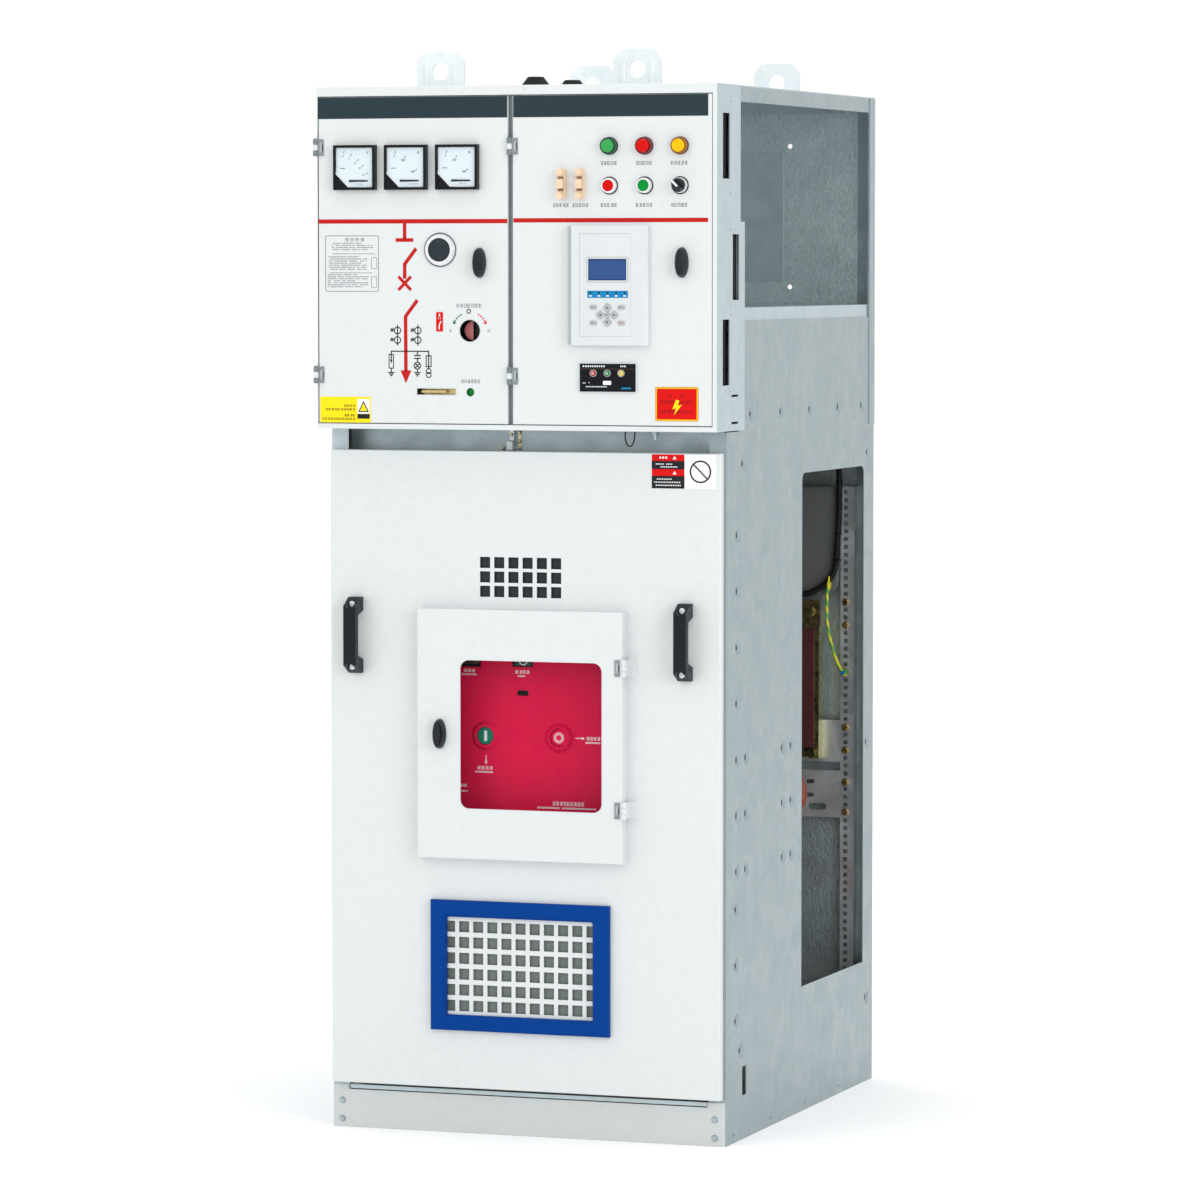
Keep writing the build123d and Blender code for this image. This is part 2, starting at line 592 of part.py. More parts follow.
def relay_keypad():
    """The fascia sheet with its screen window frame, and nine raised membrane keys."""
    back = FASCIA_Y
    sheet = block(FASCIA_X, (back - 1, back), FASCIA_Z)
    x, z = KEY_CENTRE
    keys = []
    for dx, dz in ((0, 12.7), (0, -12.7), (-13, 0), (13, 0)):
        key = block(around(0, 5.4), (back - 2.4, back - 1), around(0, 5.4))
        key = fillet(key.edges().filter_by(Axis.Y), 1.5)
        keys.append(Pos(x + dx, 0, z + dz) * Rot(0, 45, 0) * key)
    for dx, dz in ((-26, 13.5), (26, 13.5), (-26, -14), (26, -14)):
        keys.append(soft_rectangle(around(x + dx, 6), (back - 2.4, back - 1), around(z + dz, 3.6), 1.5))
    keys.append(rod("Y", (x, back - 1.7, z), 4.6, 1.4))
    screen = (144.0, 215.0), (1535.5, 1573.5)
    bezel = soft_rectangle(
        (screen[0][0] - 3, screen[0][1] + 3), (back - 2, back - 1), (screen[1][0] - 3, screen[1][1] + 3), 2
    )
    bezel -= block(screen[0], (back - 4, back), screen[1])
    return (sheet + keys) + bezel


def indicator_unit():
    """The live-line indicator: a flat black fascia with three lenses, and its case."""
    unit = rounded_front(UNIT_X, (BOX_FRONT - 6, BOX_FRONT), UNIT_Z, 1)
    behind = (BOX_FRONT - 1, BOX_FRONT + 46)
    unit += block((UNIT_X[0] + 6, UNIT_X[1] - 6), behind, (UNIT_Z[0] + 5, UNIT_Z[1] - 5))
    middle = (UNIT_X[0] + UNIT_X[1]) / 2
    for k in (-1, 0, 1):
        unit += rod("Y", (middle + k * 26, BOX_FRONT - 7, UNIT_Z[1] - 16.5), 5.2, 3)
    return unit


def link_block(x):
    """A test-link base with two studs that pass through the door."""
    base = soft_rectangle(around(x, 7.5), (BOX_FRONT - 9, BOX_FRONT), around(LINK_Z, 26), 3)
    base -= block(around(x, 5), (BOX_FRONT - 12, BOX_FRONT - 6), around(LINK_Z, 12))
    for dz in (-21, 21):
        base += rod("Y", (x, BOX_FRONT + 8, LINK_Z + dz), 3, 24)
    base += rod("Y", (x, BOX_FRONT - 13, LINK_Z - 21), 2.5, 10)
    return base


def test_link(x):
    """The link: a strap that swings about the lower stud, with a moulded grip and thumb nuts."""
    strap = soft_rectangle(around(x, 4.5), (BOX_FRONT - 11.6, BOX_FRONT - 9.2), around(LINK_Z, 25.5), 4)
    strap += soft_rectangle(around(x, 6), (BOX_FRONT - 18, BOX_FRONT - 11), around(LINK_Z, 8), 2)
    for dz in (-21, 21):
        strap += rod("Y", (x, BOX_FRONT - 15, LINK_Z + dz), 5.8, 8)
    strap -= rod("Y", (x, BOX_FRONT - 13, LINK_Z - 21), 2.6, 11.2)
    return strap


# ---- lower door ---------------------------------------------------------------------------
HOLE = (19.5, 20.0)           # ventilation hole, width and height
VENT_FIRST = (-82.5, 1022.0)  # lower left corner of the top left vent hole
VENT_PITCH = (27.0, 25.8)
GRILLE_FIRST = (-150.5, 366.0)
GRILLE_PITCH = (27.0, 28.6)
GRILLE_X = (-175.0, 165.0)
GRILLE_Z = (189.0, 424.0)
GRILLE_OPEN_X = (-145.5, 133.5)
GRILLE_OPEN_Z = (217.0, 394.0)


def hole_grid(first, pitch, columns, rows):
    """Square holes counted right and down from the first one."""
    cells = []
    for column in range(columns):
        for row in range(rows):
            x = first[0] + column * pitch[0]
            z = first[1] - row * pitch[1]
            cells.append(block((x, x + HOLE[0]), (-480, -460), (z, z + HOLE[1])))
    return cells


def lower_door_panel():
    door = pan(LOWER_X, LOWER_Z, LOWER_FRONT, 19.5, 2.0)
    door -= hole_grid(VENT_FIRST, VENT_PITCH, 6, 3)
    door -= hole_grid(GRILLE_FIRST, GRILLE_PITCH, 11, 6)
    door -= soft_rectangle((-165, 170), (-480, -460), (545, 915), 10)
    for x in HANDLE_X:
        door -= [rod("Y", (x, LOWER_FRONT, HANDLE_Z + s * (HANDLE_HALF - 12)), 3.4, 20) for s in (-1, 1)]
    stiffener = block((-300, 300), (LOWER_FRONT + SHEET, LOWER_FRONT + 14), (1110, 1112))
    return door + stiffener


def grille_frame():
    frame = rounded_front(GRILLE_X, (LOWER_FRONT - 12, LOWER_FRONT), GRILLE_Z, 4)
    frame -= soft_rectangle(GRILLE_OPEN_X, (-500, -460), GRILLE_OPEN_Z, 3)
    inner = frame.faces().sort_by(Axis.Y)[0].inner_wires()[0].edges()
    return chamfer(inner, 5)


def grille_pane():
    return block((-158, 146), (LOWER_FRONT + 6, LOWER_FRONT + 10), (205, 406))


# ---- small door ---------------------------------------------------------------------------
def small_door_panel():
    door = pan(SMALL_X, SMALL_Z, SMALL_FRONT, 24.8, 2.0)
    door -= soft_rectangle(WINDOW_X, (-520, -480), WINDOW_Z, 17)
    return door - rod("Y", (SMALL_KNOB[0], SMALL_FRONT, SMALL_KNOB[1]), SPINDLE_HOLE_R, 20)


def small_door_window():
    x = (WINDOW_X[0] - 12, WINDOW_X[1] + 12)
    return block(x, (SMALL_FRONT + 2, SMALL_FRONT + 6), (WINDOW_Z[0] - 12, WINDOW_Z[1] + 12))


# ---- switching equipment ------------------------------------------------------------------
SWITCH_Z = (1200.0, RAIL_LOW - 2)
SWITCH_MID = -70.0
SWITCH_Y = (SWITCH_MID - 130, SWITCH_MID + 130)
MECHANISM_X = (-250.0, -30.0)
MECHANISM_Z = (1290.0, 1462.0)
BREAKER_X = (-215.0, 195.0)
BREAKER_Z = (470.0, 930.0)
BREAKER_FRONT = -425.0
BREAKER_BACK = -170.0
POLE_Y = -60.0
POLE_R = 62.0
CLOSE = (-88.0, 717.5)
TRIP = (52.0, 717.5)
ARM_Z = (560.0, 840.0)


def load_switch():
    """The sealed three-position load switch: a moulded housing with ribs."""
    body = block((-335, 335), SWITCH_Y, SWITCH_Z)
    body = fillet(body.edges().filter_by(Axis.X), 25)
    for x in (-315, -105, 105, 315):
        rib = block(around(x, 8), (SWITCH_Y[0] - 8, SWITCH_Y[1] + 8), (SWITCH_Z[0] + 40, SWITCH_Z[1] - 40))
        body += fillet(rib.edges().filter_by(Axis.X), 6)
    return body


def insulator(x, y, z, height, direction):
    """A ribbed resin insulator along Z or Y."""
    lengthways = direction == "Z"
    parts = cone("Z", (0, 0, height / 2), 36, 26, height)
    for k in range(3):
        parts += cone("Z", (0, 0, height * (0.2 + 0.27 * k)), 46 - 3 * k, 38 - 3 * k, height * 0.12)
    parts += rod("Z", (0, 0, height + 2), 18, 4)
    return Pos(x, y, z) * (parts if lengthways else Rot(90, 0, 0) * parts)


def insulators():
    made = []
    for p in PHASES:
        bushing = insulator(p, SWITCH_MID, SWITCH_Z[1], 92, "Z")
        made.append(bushing - rod("Z", (p, SWITCH_MID, SWITCH_Z[1] + 92), 6, 40))
        made.append(Pos(p, SWITCH_MID, SWITCH_Z[0]) * Rot(180, 0, 0) * insulator(0, 0, 0, 72, "Z"))
        made.append(insulator(p, 422.5, 549, 78, "Y"))
    return made


def switch_mechanism():
    """The load switch's drive: a folded plate box with a bearing boss for the shaft."""
    x, z = MECHANISM_X, MECHANISM_Z
    box = block(x, (-360, SWITCH_Y[0] - 8), z)
    box -= block((x[0] + 3, x[1] - 3), (-357, 0), (z[0] + 3, z[1] - 3))
    box += rod("Y", (SHAFT[0], -363, SHAFT[1]), 15.9, 6)
    box -= rod("Y", (SHAFT[0], -365, SHAFT[1]), 10.05, 30)
    box -= rod("Y", (UNLOCK[0], -360, UNLOCK[1]), 4.1, 30)
    return box


def switch_shaft():
    """The operating shaft with its half-red, half-black coded collar, stepped on one half."""
    x, z = SHAFT
    shaft = rod("Y", (x, -411, z), 10, 150)
    shaft += rod("Y", (x, -489, z), 17, 14)
    shaft -= block((x, x + 20), (-500, -490), around(z, 20))
    return shaft


def interlock_button():
    x, z = UNLOCK
    button = rod("Y", (x, -504, z), 7, 12) + rod("Y", (x, -420, z), 4, 160)
    return fillet(button.edges().group_by(Axis.Y)[0], 1)


def interlock_slide():
    """A plated slide behind the gate slot, with a finger tab that moves along it."""
    z = (GATE_Z[0] + GATE_Z[1]) / 2
    strip = block((GATE_X[0] - 14, GATE_X[1] + 2), (-496, -493), around(z, 11))
    tab = block((GATE_X[0] + 6, GATE_X[1] - 22), (-509, -495), around(z, 3.2))
    return strip + chamfer(tab.faces().sort_by(Axis.Y)[0].edges(), 1)


def slide_guide():
    """Two fixed clips that the slide runs in, on a bracket from the box's back sheet."""
    z = (GATE_Z[0] + GATE_Z[1]) / 2
    bracket = block((GATE_X[0] - 4, GATE_X[1] - 10), (-492.5, -490), around(z, 16))
    bracket += block(around(sum(GATE_X) / 2 - 8, 12), (-490, BOX_BACK), around(z, 16))
    return bracket


def breaker_case():
    """The vacuum circuit breaker's mechanism housing, open at the front behind its cover."""
    x, z = BREAKER_X, BREAKER_Z
    case = block(x, (BREAKER_FRONT + 30, BREAKER_BACK), z)
    case -= block((x[0] + 3, x[1] - 3), (BREAKER_FRONT, BREAKER_BACK - 3), (z[0] + 3, z[1] - 3))
    for x in BREAKER_X:
        foot = sorted((x, x + (60 if x > 0 else -60)))
        case += block(foot, (-330, -210), (BREAKER_Z[0], BREAKER_Z[0] + 4))
    return case


def breaker_rails():
    """Two rails between the side panels that carry the breaker."""
    rails = []
    for y in (-325, -235):
        rail = block((-HALF + SHEET, HALF - SHEET), (y, y + 20), (430, BREAKER_Z[0]))
        rail -= block((-400, 400), (y + 3, y + 30), (434, BREAKER_Z[0] - 4))
        rails.append(rail)
    return rails


def breaker_cover():
    """The red moulded fascia with two button wells and three indicator recesses."""
    face = rounded_front(BREAKER_X, (BREAKER_FRONT, BREAKER_FRONT + 30), BREAKER_Z, 6)
    face -= block(
        (BREAKER_X[0] + 3, BREAKER_X[1] - 3), (BREAKER_FRONT + 3, BREAKER_FRONT + 31),
        (BREAKER_Z[0] + 3, BREAKER_Z[1] - 3),
    )
    for x, z in (CLOSE, TRIP):
        face += cone("Y", (x, BREAKER_FRONT - 3, z), 21, 27, 6)
        face -= rod("Y", (x, BREAKER_FRONT, z), 16.5, 30)
        face += rod("Y", (x, BREAKER_FRONT + 9, z), 20, 12) - rod("Y", (x, BREAKER_FRONT + 9, z), 16.5, 14)
    face -= block((-28, -7), (-430, -420), (791, 801))
    face -= block((-38, 2), (-430, -420), (843, 866))
    face -= block((-140, -98), (-430, -420), (841, 866))
    return face


def breaker_button(place):
    cap = rod("Y", (place[0], BREAKER_FRONT + 7, place[1]), 16, 18)
    return fillet(cap.edges().group_by(Axis.Y)[0], 2)


def breaker_poles():
    """Three resin pole columns, each with two brackets to the housing."""
    poles = []
    for p in PHASES:
        pole = rod("Z", (p, POLE_Y, 700), POLE_R, 400)
        for z in (520, 880):
            pole += rod("Z", (p, POLE_Y, z), POLE_R + 8, 16)
        for z in ARM_Z:
            pole += rod("Y", (p, POLE_Y + POLE_R, z), 34, 40)
        width = 30.0 if p else 40.0
        inner = {-1: BREAKER_X[0], 0: 0.0, 1: BREAKER_X[1]}[(p > 0) - (p < 0)]
        x = around(p, width) if p == 0 else around(inner - (p / abs(p)) * width, width)
        for z in (590, 800):
            pole += block(x, (BREAKER_BACK, POLE_Y), around(z, 12))
        poles.append(pole)
    return poles


def copper_bars():
    """Bars from the switch to the breaker and down through the transformers, and the earth bar."""
    bars = []
    y_arm = POLE_Y + POLE_R + 20
    for p in PHASES:
        wide = around(p, 20)
        upper = block(wide, (y_arm, 112), (ARM_Z[1] - 5, ARM_Z[1] + 5))
        upper += block(wide, (102, 112), (ARM_Z[1], 1114))
        upper += block(wide, (SWITCH_MID - 20, 112), (1114, 1124))
        bars.append(upper)
        lower = block(wide, (y_arm, CABLE_Y + 5), (ARM_Z[0] - 5, ARM_Z[0] + 5))
        lower += block(wide, around(CABLE_Y, 5), (250, ARM_Z[0]))
        lower -= rod("Y", (p, CABLE_Y, 272), 6.5, 30)
        bars.append(lower)
    earth = block((-316, 316), (330, 336), (140, 180))
    bars.append(earth - [rod("Y", (-270 + 60 * k, 333, 160), 5.5, 20) for k in range(10)])
    return bars


def current_transformer(x):
    """A resin ring-type transformer round the lower bar."""
    body = block(around(x, 55), around(CABLE_Y, 62), (330, 470))
    body = fillet(body.edges().filter_by(Axis.Z), 14)
    body -= block(around(x, 22), around(CABLE_Y, 7), (300, 500))
    body += block(around(x, 30), (CABLE_Y - 72, CABLE_Y - 60), (350, 380))
    return body


def transformer_stand():
    """Two cross rails under the transformers, each on two legs that stand on the floor plate."""
    stands = []
    for y in (CABLE_Y - 45, CABLE_Y + 35):
        stand = block((-280, 280), (y, y + 12), (316, 330))
        for side in (-1, 1):
            stand += block(sorted((side * 280, side * 268)), (y, y + 12), (PLINTH_TOP, 316))
        stands.append(stand)
    return stands


# ---- rear corner equipment ----------------------------------------------------------------
RAIL_X = (318.0, 345.5)
RAIL_Z = (100.0, 1139.0)
RAIL_FACE = 423.0
RAIL_PITCH = 15.0
RAIL_BOLT_Z = (515.0, 572.0, 633.5, 678.0, 784.0, 874.0, 918.0)


def perforated_rail(side):
    """An upright channel with a row of square holes, and legs to the rear cover."""
    x = RAIL_X
    rail = block(x, (RAIL_FACE, RAIL_FACE + SHEET), RAIL_Z)
    rail += block((x[0], x[0] + SHEET), (RAIL_FACE, INNER_REAR - SHEET), RAIL_Z)
    rail += block((x[1] - SHEET, x[1]), (RAIL_FACE, INNER_REAR - SHEET), RAIL_Z)
    middle = sum(x) / 2 - 3
    count = int((RAIL_Z[1] - RAIL_Z[0]) // RAIL_PITCH)
    top = RAIL_Z[1] - 10
    holes = [
        block(around(middle, 4), (RAIL_FACE - 1, RAIL_FACE + 3), around(top - k * RAIL_PITCH, 3.8))
        for k in range(count)
    ]
    rail -= holes
    return rail if side > 0 else mirror(rail, about=Plane.YZ)


def cross_plates():
    """Two plates between the uprights; the lower one has slots for cable clamps."""
    x = (-RAIL_X[0], RAIL_X[0])
    upper = block(x, (RAIL_FACE, RAIL_FACE + SHEET), (611, 691))
    upper += block(x, (RAIL_FACE, RAIL_FACE + 14), (611, 613))
    lower = block(x, (RAIL_FACE, RAIL_FACE + SHEET), (504, 594))
    lower += block(x, (RAIL_FACE, RAIL_FACE + 14), (592, 594))
    cuts = []
    for centre in (-272, -62, 148, 272):
        cuts.append(soft_rectangle(around(centre, 18), (400, 440), around(524, 6.5), 6))
        for z in (546, 572):
            cuts.append(soft_rectangle(around(centre - 14, 8), (400, 440), around(z, 4), 3.5))
    return [upper, lower - cuts]


def rail_bolts():
    """Plated bolts with washers on both uprights."""
    bolts = []
    for side in (-1, 1):
        for z in RAIL_BOLT_Z:
            x = side * (sum(RAIL_X) / 2 - 3)
            washer = rod("Y", (x, RAIL_FACE - 0.8, z), 7, 1.6)
            hexagon = extrude(RegularPolygon(5.6, 6), 2.5, both=True)
            bolts.append(washer + Pos(x, RAIL_FACE - 4.1, z) * Rot(90, 0, 0) * hexagon)
    return bolts


BRACKET_X = (213.0, 283.0)


def earthing_bracket():
    """A plated channel that carries the cable screens' earth, with a head plate and its bolt."""
    x, z = BRACKET_X, (619.0, 905.0)
    channel = block(x, (396, RAIL_FACE), z)
    channel -= block((x[0] + 12, x[1] - 12), (390, RAIL_FACE - 3), (z[0] - 1, z[1] + 1))
    head = soft_rectangle((x[0], x[1] + 4), (391, 396), (868, 923), 8)
    bolt = Pos(268, 387.5, 900) * Rot(90, 0, 0) * extrude(RegularPolygon(8.5, 6), 3.5, both=True)
    lower_bolt = rod("Y", (271, 393, 628), 5, 6)
    lower_bolt += Pos(271, 389, 628) * Rot(90, 0, 0) * extrude(RegularPolygon(9, 6), 3, both=True)
    return channel + head + bolt + lower_bolt


def cable_shroud():
    """A grey moulded cover above the bracket, rounded at its lower corners."""
    cover = block((-60, 316), (408, RAIL_FACE), (934, 1140))
    lower = cover.edges().filter_by(Axis.Y).group_by(Axis.Z)[0]
    cover = fillet(lower, 22)
    return fillet(cover.faces().sort_by(Axis.Y)[0].edges(), 3)


CABLE_R = 5.4
CABLE_ENTRY = (352, 1432)     # where the cable leaves the instrument box
CABLE_ROUTE = [
    (352, -402, 1432), (351, -275, 1436), (353, -148, 1431), (351, -20, 1435), (353, 108, 1431),
    (351, 228, 1430), (340, 330, 1398), (326, 388, 1312), (321, 400, 1205), (323, 400, 1083),
    (314, 399, 966), (262, 397, 931), (190, 399, 935),
]
LEAD_R = 3.0
LEAD_ROUTE = [
    (304, 389.8, 958), (300, 390, 914), (302, 390.5, 871), (311, 392.5, 832), (320, 398, 803),
    (327, 406, 786),
]


def tube(route, radius):
    """A round cable along a route whose corners are arcs as large as their runs allow."""
    points = [Vector(*p) for p in route]
    runs = [(b - a).length for a, b in zip(points, points[1:])]
    radii = []
    for k in range(1, len(points) - 1):
        turn = (points[k] - points[k - 1]).get_angle(points[k + 1] - points[k])
        radii.append(0.45 * min(runs[k - 1], runs[k]) / math.tan(math.radians(turn / 2)))
    path = FilletPolyline(*points, radius=radii)
    print("cable radii", [round(r) for r in radii], "length", round(path.length))
    section = Plane(origin=path @ 0, z_dir=path % 0) * Circle(radius)
    return sweep(section, path=path)


def lead_terminal():
    """The ring terminal that ends the earth lead on a rail bolt."""
    z = RAIL_BOLT_Z[4]
    x = sum(RAIL_X) / 2 - 3
    return rod("Y", (x, RAIL_FACE - 7.6, z), 7, 2) + rod("Y", (x, 411.7, z), 3.6, 5.4)


# ---- instrument wiring gear ---------------------------------------------------------------
def terminal_strip():
    """Rails on the box's back sheet with a clipped-up row of terminals and a row of small breakers."""
    back = BOX_BACK
    rails = [block((40, 345), (back - 7, back), (1312, 1347))]
    rails.append(block((-35, 75), (back - 7, back), (1552, 1587)))
    first, pitch, count = 50, 10, 28
    row = block((first, first + count * pitch), (back - 44, back - 7), (1306, 1353))
    joints = [first + k * pitch for k in range(1, count)]
    row -= [block(around(x, 0.4), (back - 45, back - 38), (1300, 1360)) for x in joints]
    for k in range(count):
        x = first + (k + 0.5) * pitch
        row -= [rod("Y", (x, back - 44, z), 3, 12) for z in (1318, 1341)]
    first, pitch, count = -24, 18, 4
    last = first + count * pitch
    breakers = block((first, last), (back - 50, back - 7), (1530, 1610))
    breakers += block((first, last), (back - 66, back - 50), (1548, 1592))
    joints = [first + k * pitch for k in range(1, count)]
    breakers -= [block(around(x, 0.4), (back - 80, back - 46), (1500, 1620)) for x in joints]
    for k in range(count):
        x = first + (k + 0.5) * pitch
        breakers += block(around(x, 4), (back - 76, back - 66), (1568, 1578))
    return [*rails, row, breakers]


# ---- fasteners ----------------------------------------------------------------------------
def pan_screw(axis, place, radius, direction):
    """A low domed screw head standing on a face."""
    height = radius * 0.55
    offset = [0.0, 0.0, 0.0]
    index = "XYZ".index(axis)
    offset[index] = direction * height / 2
    centre = [p + o for p, o in zip(place, offset)]
    low, high = (radius, radius * 0.7) if direction > 0 else (radius * 0.7, radius)
    return cone(axis, centre, low, high, height)


def fasteners():
    """Zinc screws: plinth, lug feet, roof edge, rear cover and the bolts under the box."""
    parts = [pan_screw("Y", (x, FRONT - SHEET, z), 6, -1) for x in (-357, 355) for z in (15, 48)]
    for x in (-LUG_X, LUG_X):
        for y in (LUG_Y[0] + 24, LUG_Y[1] - 24):
            for dx in (-28, 28):
                head = extrude(RegularPolygon(8, 6), 5)
                parts.append(Pos(x + dx, y, HEIGHT + LUG_THICK) * head)
    parts += [pan_screw("Z", (x, BOX_BACK - 14, HEIGHT), 5, 1) for x in (-330, -262, -75, 60, 290, 345)]
    parts += [pan_screw("Y", (s * REAR_SCREW_X, REAR, z), 5.5, 1) for s in (-1, 1) for z in REAR_SCREW_Z]
    parts += [pan_screw("Z", (x, -440, BOX_BOTTOM), 4.5, -1) for x in (-290, -20)]
    head = Pos(245, -460, BOX_BOTTOM - 7) * extrude(RegularPolygon(8.5, 6), 7)
    parts.append(head + rod("Z", (245, -460, BOX_BOTTOM - 11), 4, 10))
    return parts


# ---- write every node ---------------------------------------------------------------------
left_frame_hinges, left_door_leaves = box_hinges(LEFT_AXIS, leaf_x=(-1.5, 0.5), leaf_depth=14)
right_frame_hinges, right_door_leaves = box_hinges(RIGHT_AXIS, leaf_x=(-2.8, 0.7), leaf_depth=9)
small_frame_parts, small_door_leaves = small_hinges()

save("side_panel_left", side_panel(-1, windowed=False))
save("side_panel_right", side_panel(1, windowed=True))
save("rear_cover", rear_cover(), relief_flap())
save("roof_panel", roof_panel())
save("busbar_floor", busbar_floor())
save("base_frame", base_frame())
save("plinth_front", plinth_front())
save("floor_plate", floor_plate())
save("rubber_grommets", *rubber_grommets())
save("lifting_lugs", *[lifting_lug(x, y) for x in (-LUG_X, LUG_X) for y in LUG_Y])
save("instrument_box", instrument_box(), box_apron())
save("box_front_frame", box_front_frame())
save("frame_hinges", *left_frame_hinges, *right_frame_hinges)

save("left_door_panel", left_door_panel(), *left_door_leaves)
save("panel_meters", *[panel_meter(x) for x in METER_X])
save("sight_glass", *sight_glass())
save("left_knob", wing_knob(LEFT_KNOB, BOX_FRONT, BOX_FRONT + 22, reach=50))

save("right_door_panel", right_door_panel(), *right_door_leaves)
save("panel_bezels", *panel_bezels())
save("lamp_lenses", *[lamp_lens(x) for x in COLUMN_X])
save("relay_case", relay_case())
save("relay_keypad", relay_keypad())
save("indicator_unit", indicator_unit())
save("link_blocks", *[link_block(x) for x in LINK_X])
save("right_knob", wing_knob(RIGHT_KNOB, BOX_FRONT, BOX_FRONT + 22, reach=50))
save("red_button", push_button(COLUMN_X[0]))
save("green_button", push_button(COLUMN_X[1]))
save("selector_switch", selector_switch())
save("test_link_left", test_link(LINK_X[0]))
save("test_link_right", test_link(LINK_X[1]))

save("lower_door_panel", lower_door_panel())
save("door_handles", *[bridge_handle(x) for x in HANDLE_X])
save("handle_screws", *handle_screws())
save("grille_frame", grille_frame())
save("grille_pane", grille_pane())
save("small_frame_hinges", *small_frame_parts)
save("small_door_panel", small_door_panel(), *small_door_leaves)
save("small_door_window", small_door_window())
save("small_knob", wing_knob(SMALL_KNOB, SMALL_FRONT, LOWER_FRONT + SHEET + 1, reach=28))

save("load_switch", load_switch())
save("insulators", *insulators())
save("switch_mechanism", switch_mechanism(), slide_guide())
save("switch_shaft", switch_shaft())
save("interlock_button", interlock_button())
save("interlock_slide", interlock_slide())
save("breaker_case", breaker_case(), *breaker_rails())
save("breaker_cover", breaker_cover())
save("close_button", breaker_button(CLOSE))
save("trip_button", breaker_button(TRIP))
save("breaker_poles", *breaker_poles())
save("copper_bars", *copper_bars())
save("current_transformers", *[current_transformer(x) for x in PHASES], *transformer_stand())

save("rear_rails", perforated_rail(-1), perforated_rail(1), *cross_plates())
save("rail_bolts", *rail_bolts())
save("earthing_bracket", earthing_bracket())
save("cable_shroud", cable_shroud())
save("control_cable", tube(CABLE_ROUTE, CABLE_R))
save("earth_lead", tube(LEAD_ROUTE, LEAD_R), lead_terminal())
save("terminal_strip", *terminal_strip())
save("fasteners", *fasteners())
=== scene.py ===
import bpy
import bmesh
import math
import random
from mathutils import Matrix, Vector


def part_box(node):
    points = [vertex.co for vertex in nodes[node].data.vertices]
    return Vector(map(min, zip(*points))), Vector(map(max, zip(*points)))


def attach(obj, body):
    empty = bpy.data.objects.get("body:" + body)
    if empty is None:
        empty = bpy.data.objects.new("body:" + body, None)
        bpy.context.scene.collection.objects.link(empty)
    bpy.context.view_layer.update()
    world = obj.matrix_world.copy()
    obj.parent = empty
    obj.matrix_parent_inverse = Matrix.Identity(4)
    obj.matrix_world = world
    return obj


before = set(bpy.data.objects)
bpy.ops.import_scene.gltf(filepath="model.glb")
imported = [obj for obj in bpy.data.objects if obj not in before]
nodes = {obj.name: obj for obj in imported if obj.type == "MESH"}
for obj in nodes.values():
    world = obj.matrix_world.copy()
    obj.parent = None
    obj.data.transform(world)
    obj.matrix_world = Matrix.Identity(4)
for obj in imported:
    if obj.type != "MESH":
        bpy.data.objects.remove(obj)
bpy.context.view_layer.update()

# Looks for the switchboard cabinet. Lengths in this script are millimetres unless a name says
# otherwise; Shape turns them into metres. The front of the cabinet faces -Y.

MM = 0.001


def box_mm(node):
    low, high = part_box(node)
    return low / MM, high / MM


def centre_mm(node):
    low, high = box_mm(node)
    return (low + high) / 2


# ---- faces that details stand on ----------------------------------------------------------
FACE = box_mm("box_front_frame")[0].y             # both instrument doors
LOWER_FACE = box_mm("lower_door_panel")[0].y
SMALL_FACE = box_mm("small_door_window")[0].y - 2
BREAKER_FACE = box_mm("breaker_cover")[0].y + 6
INK = 0.25                                        # thickness of printed marks
COLUMN_X = (179.0, 244.5, 310.0)                  # lamps, with buttons and selector below them
LAMP_Z, BUTTON_Z = 1771.5, 1702.0
BUTTON_LEGEND = (1664.5, 1671)
SHAFT_X, SHAFT_Z = -84.0, 1446.0                  # the operating shaft in the left door
FILM = 0.5                                        # thickness of stuck-on labels


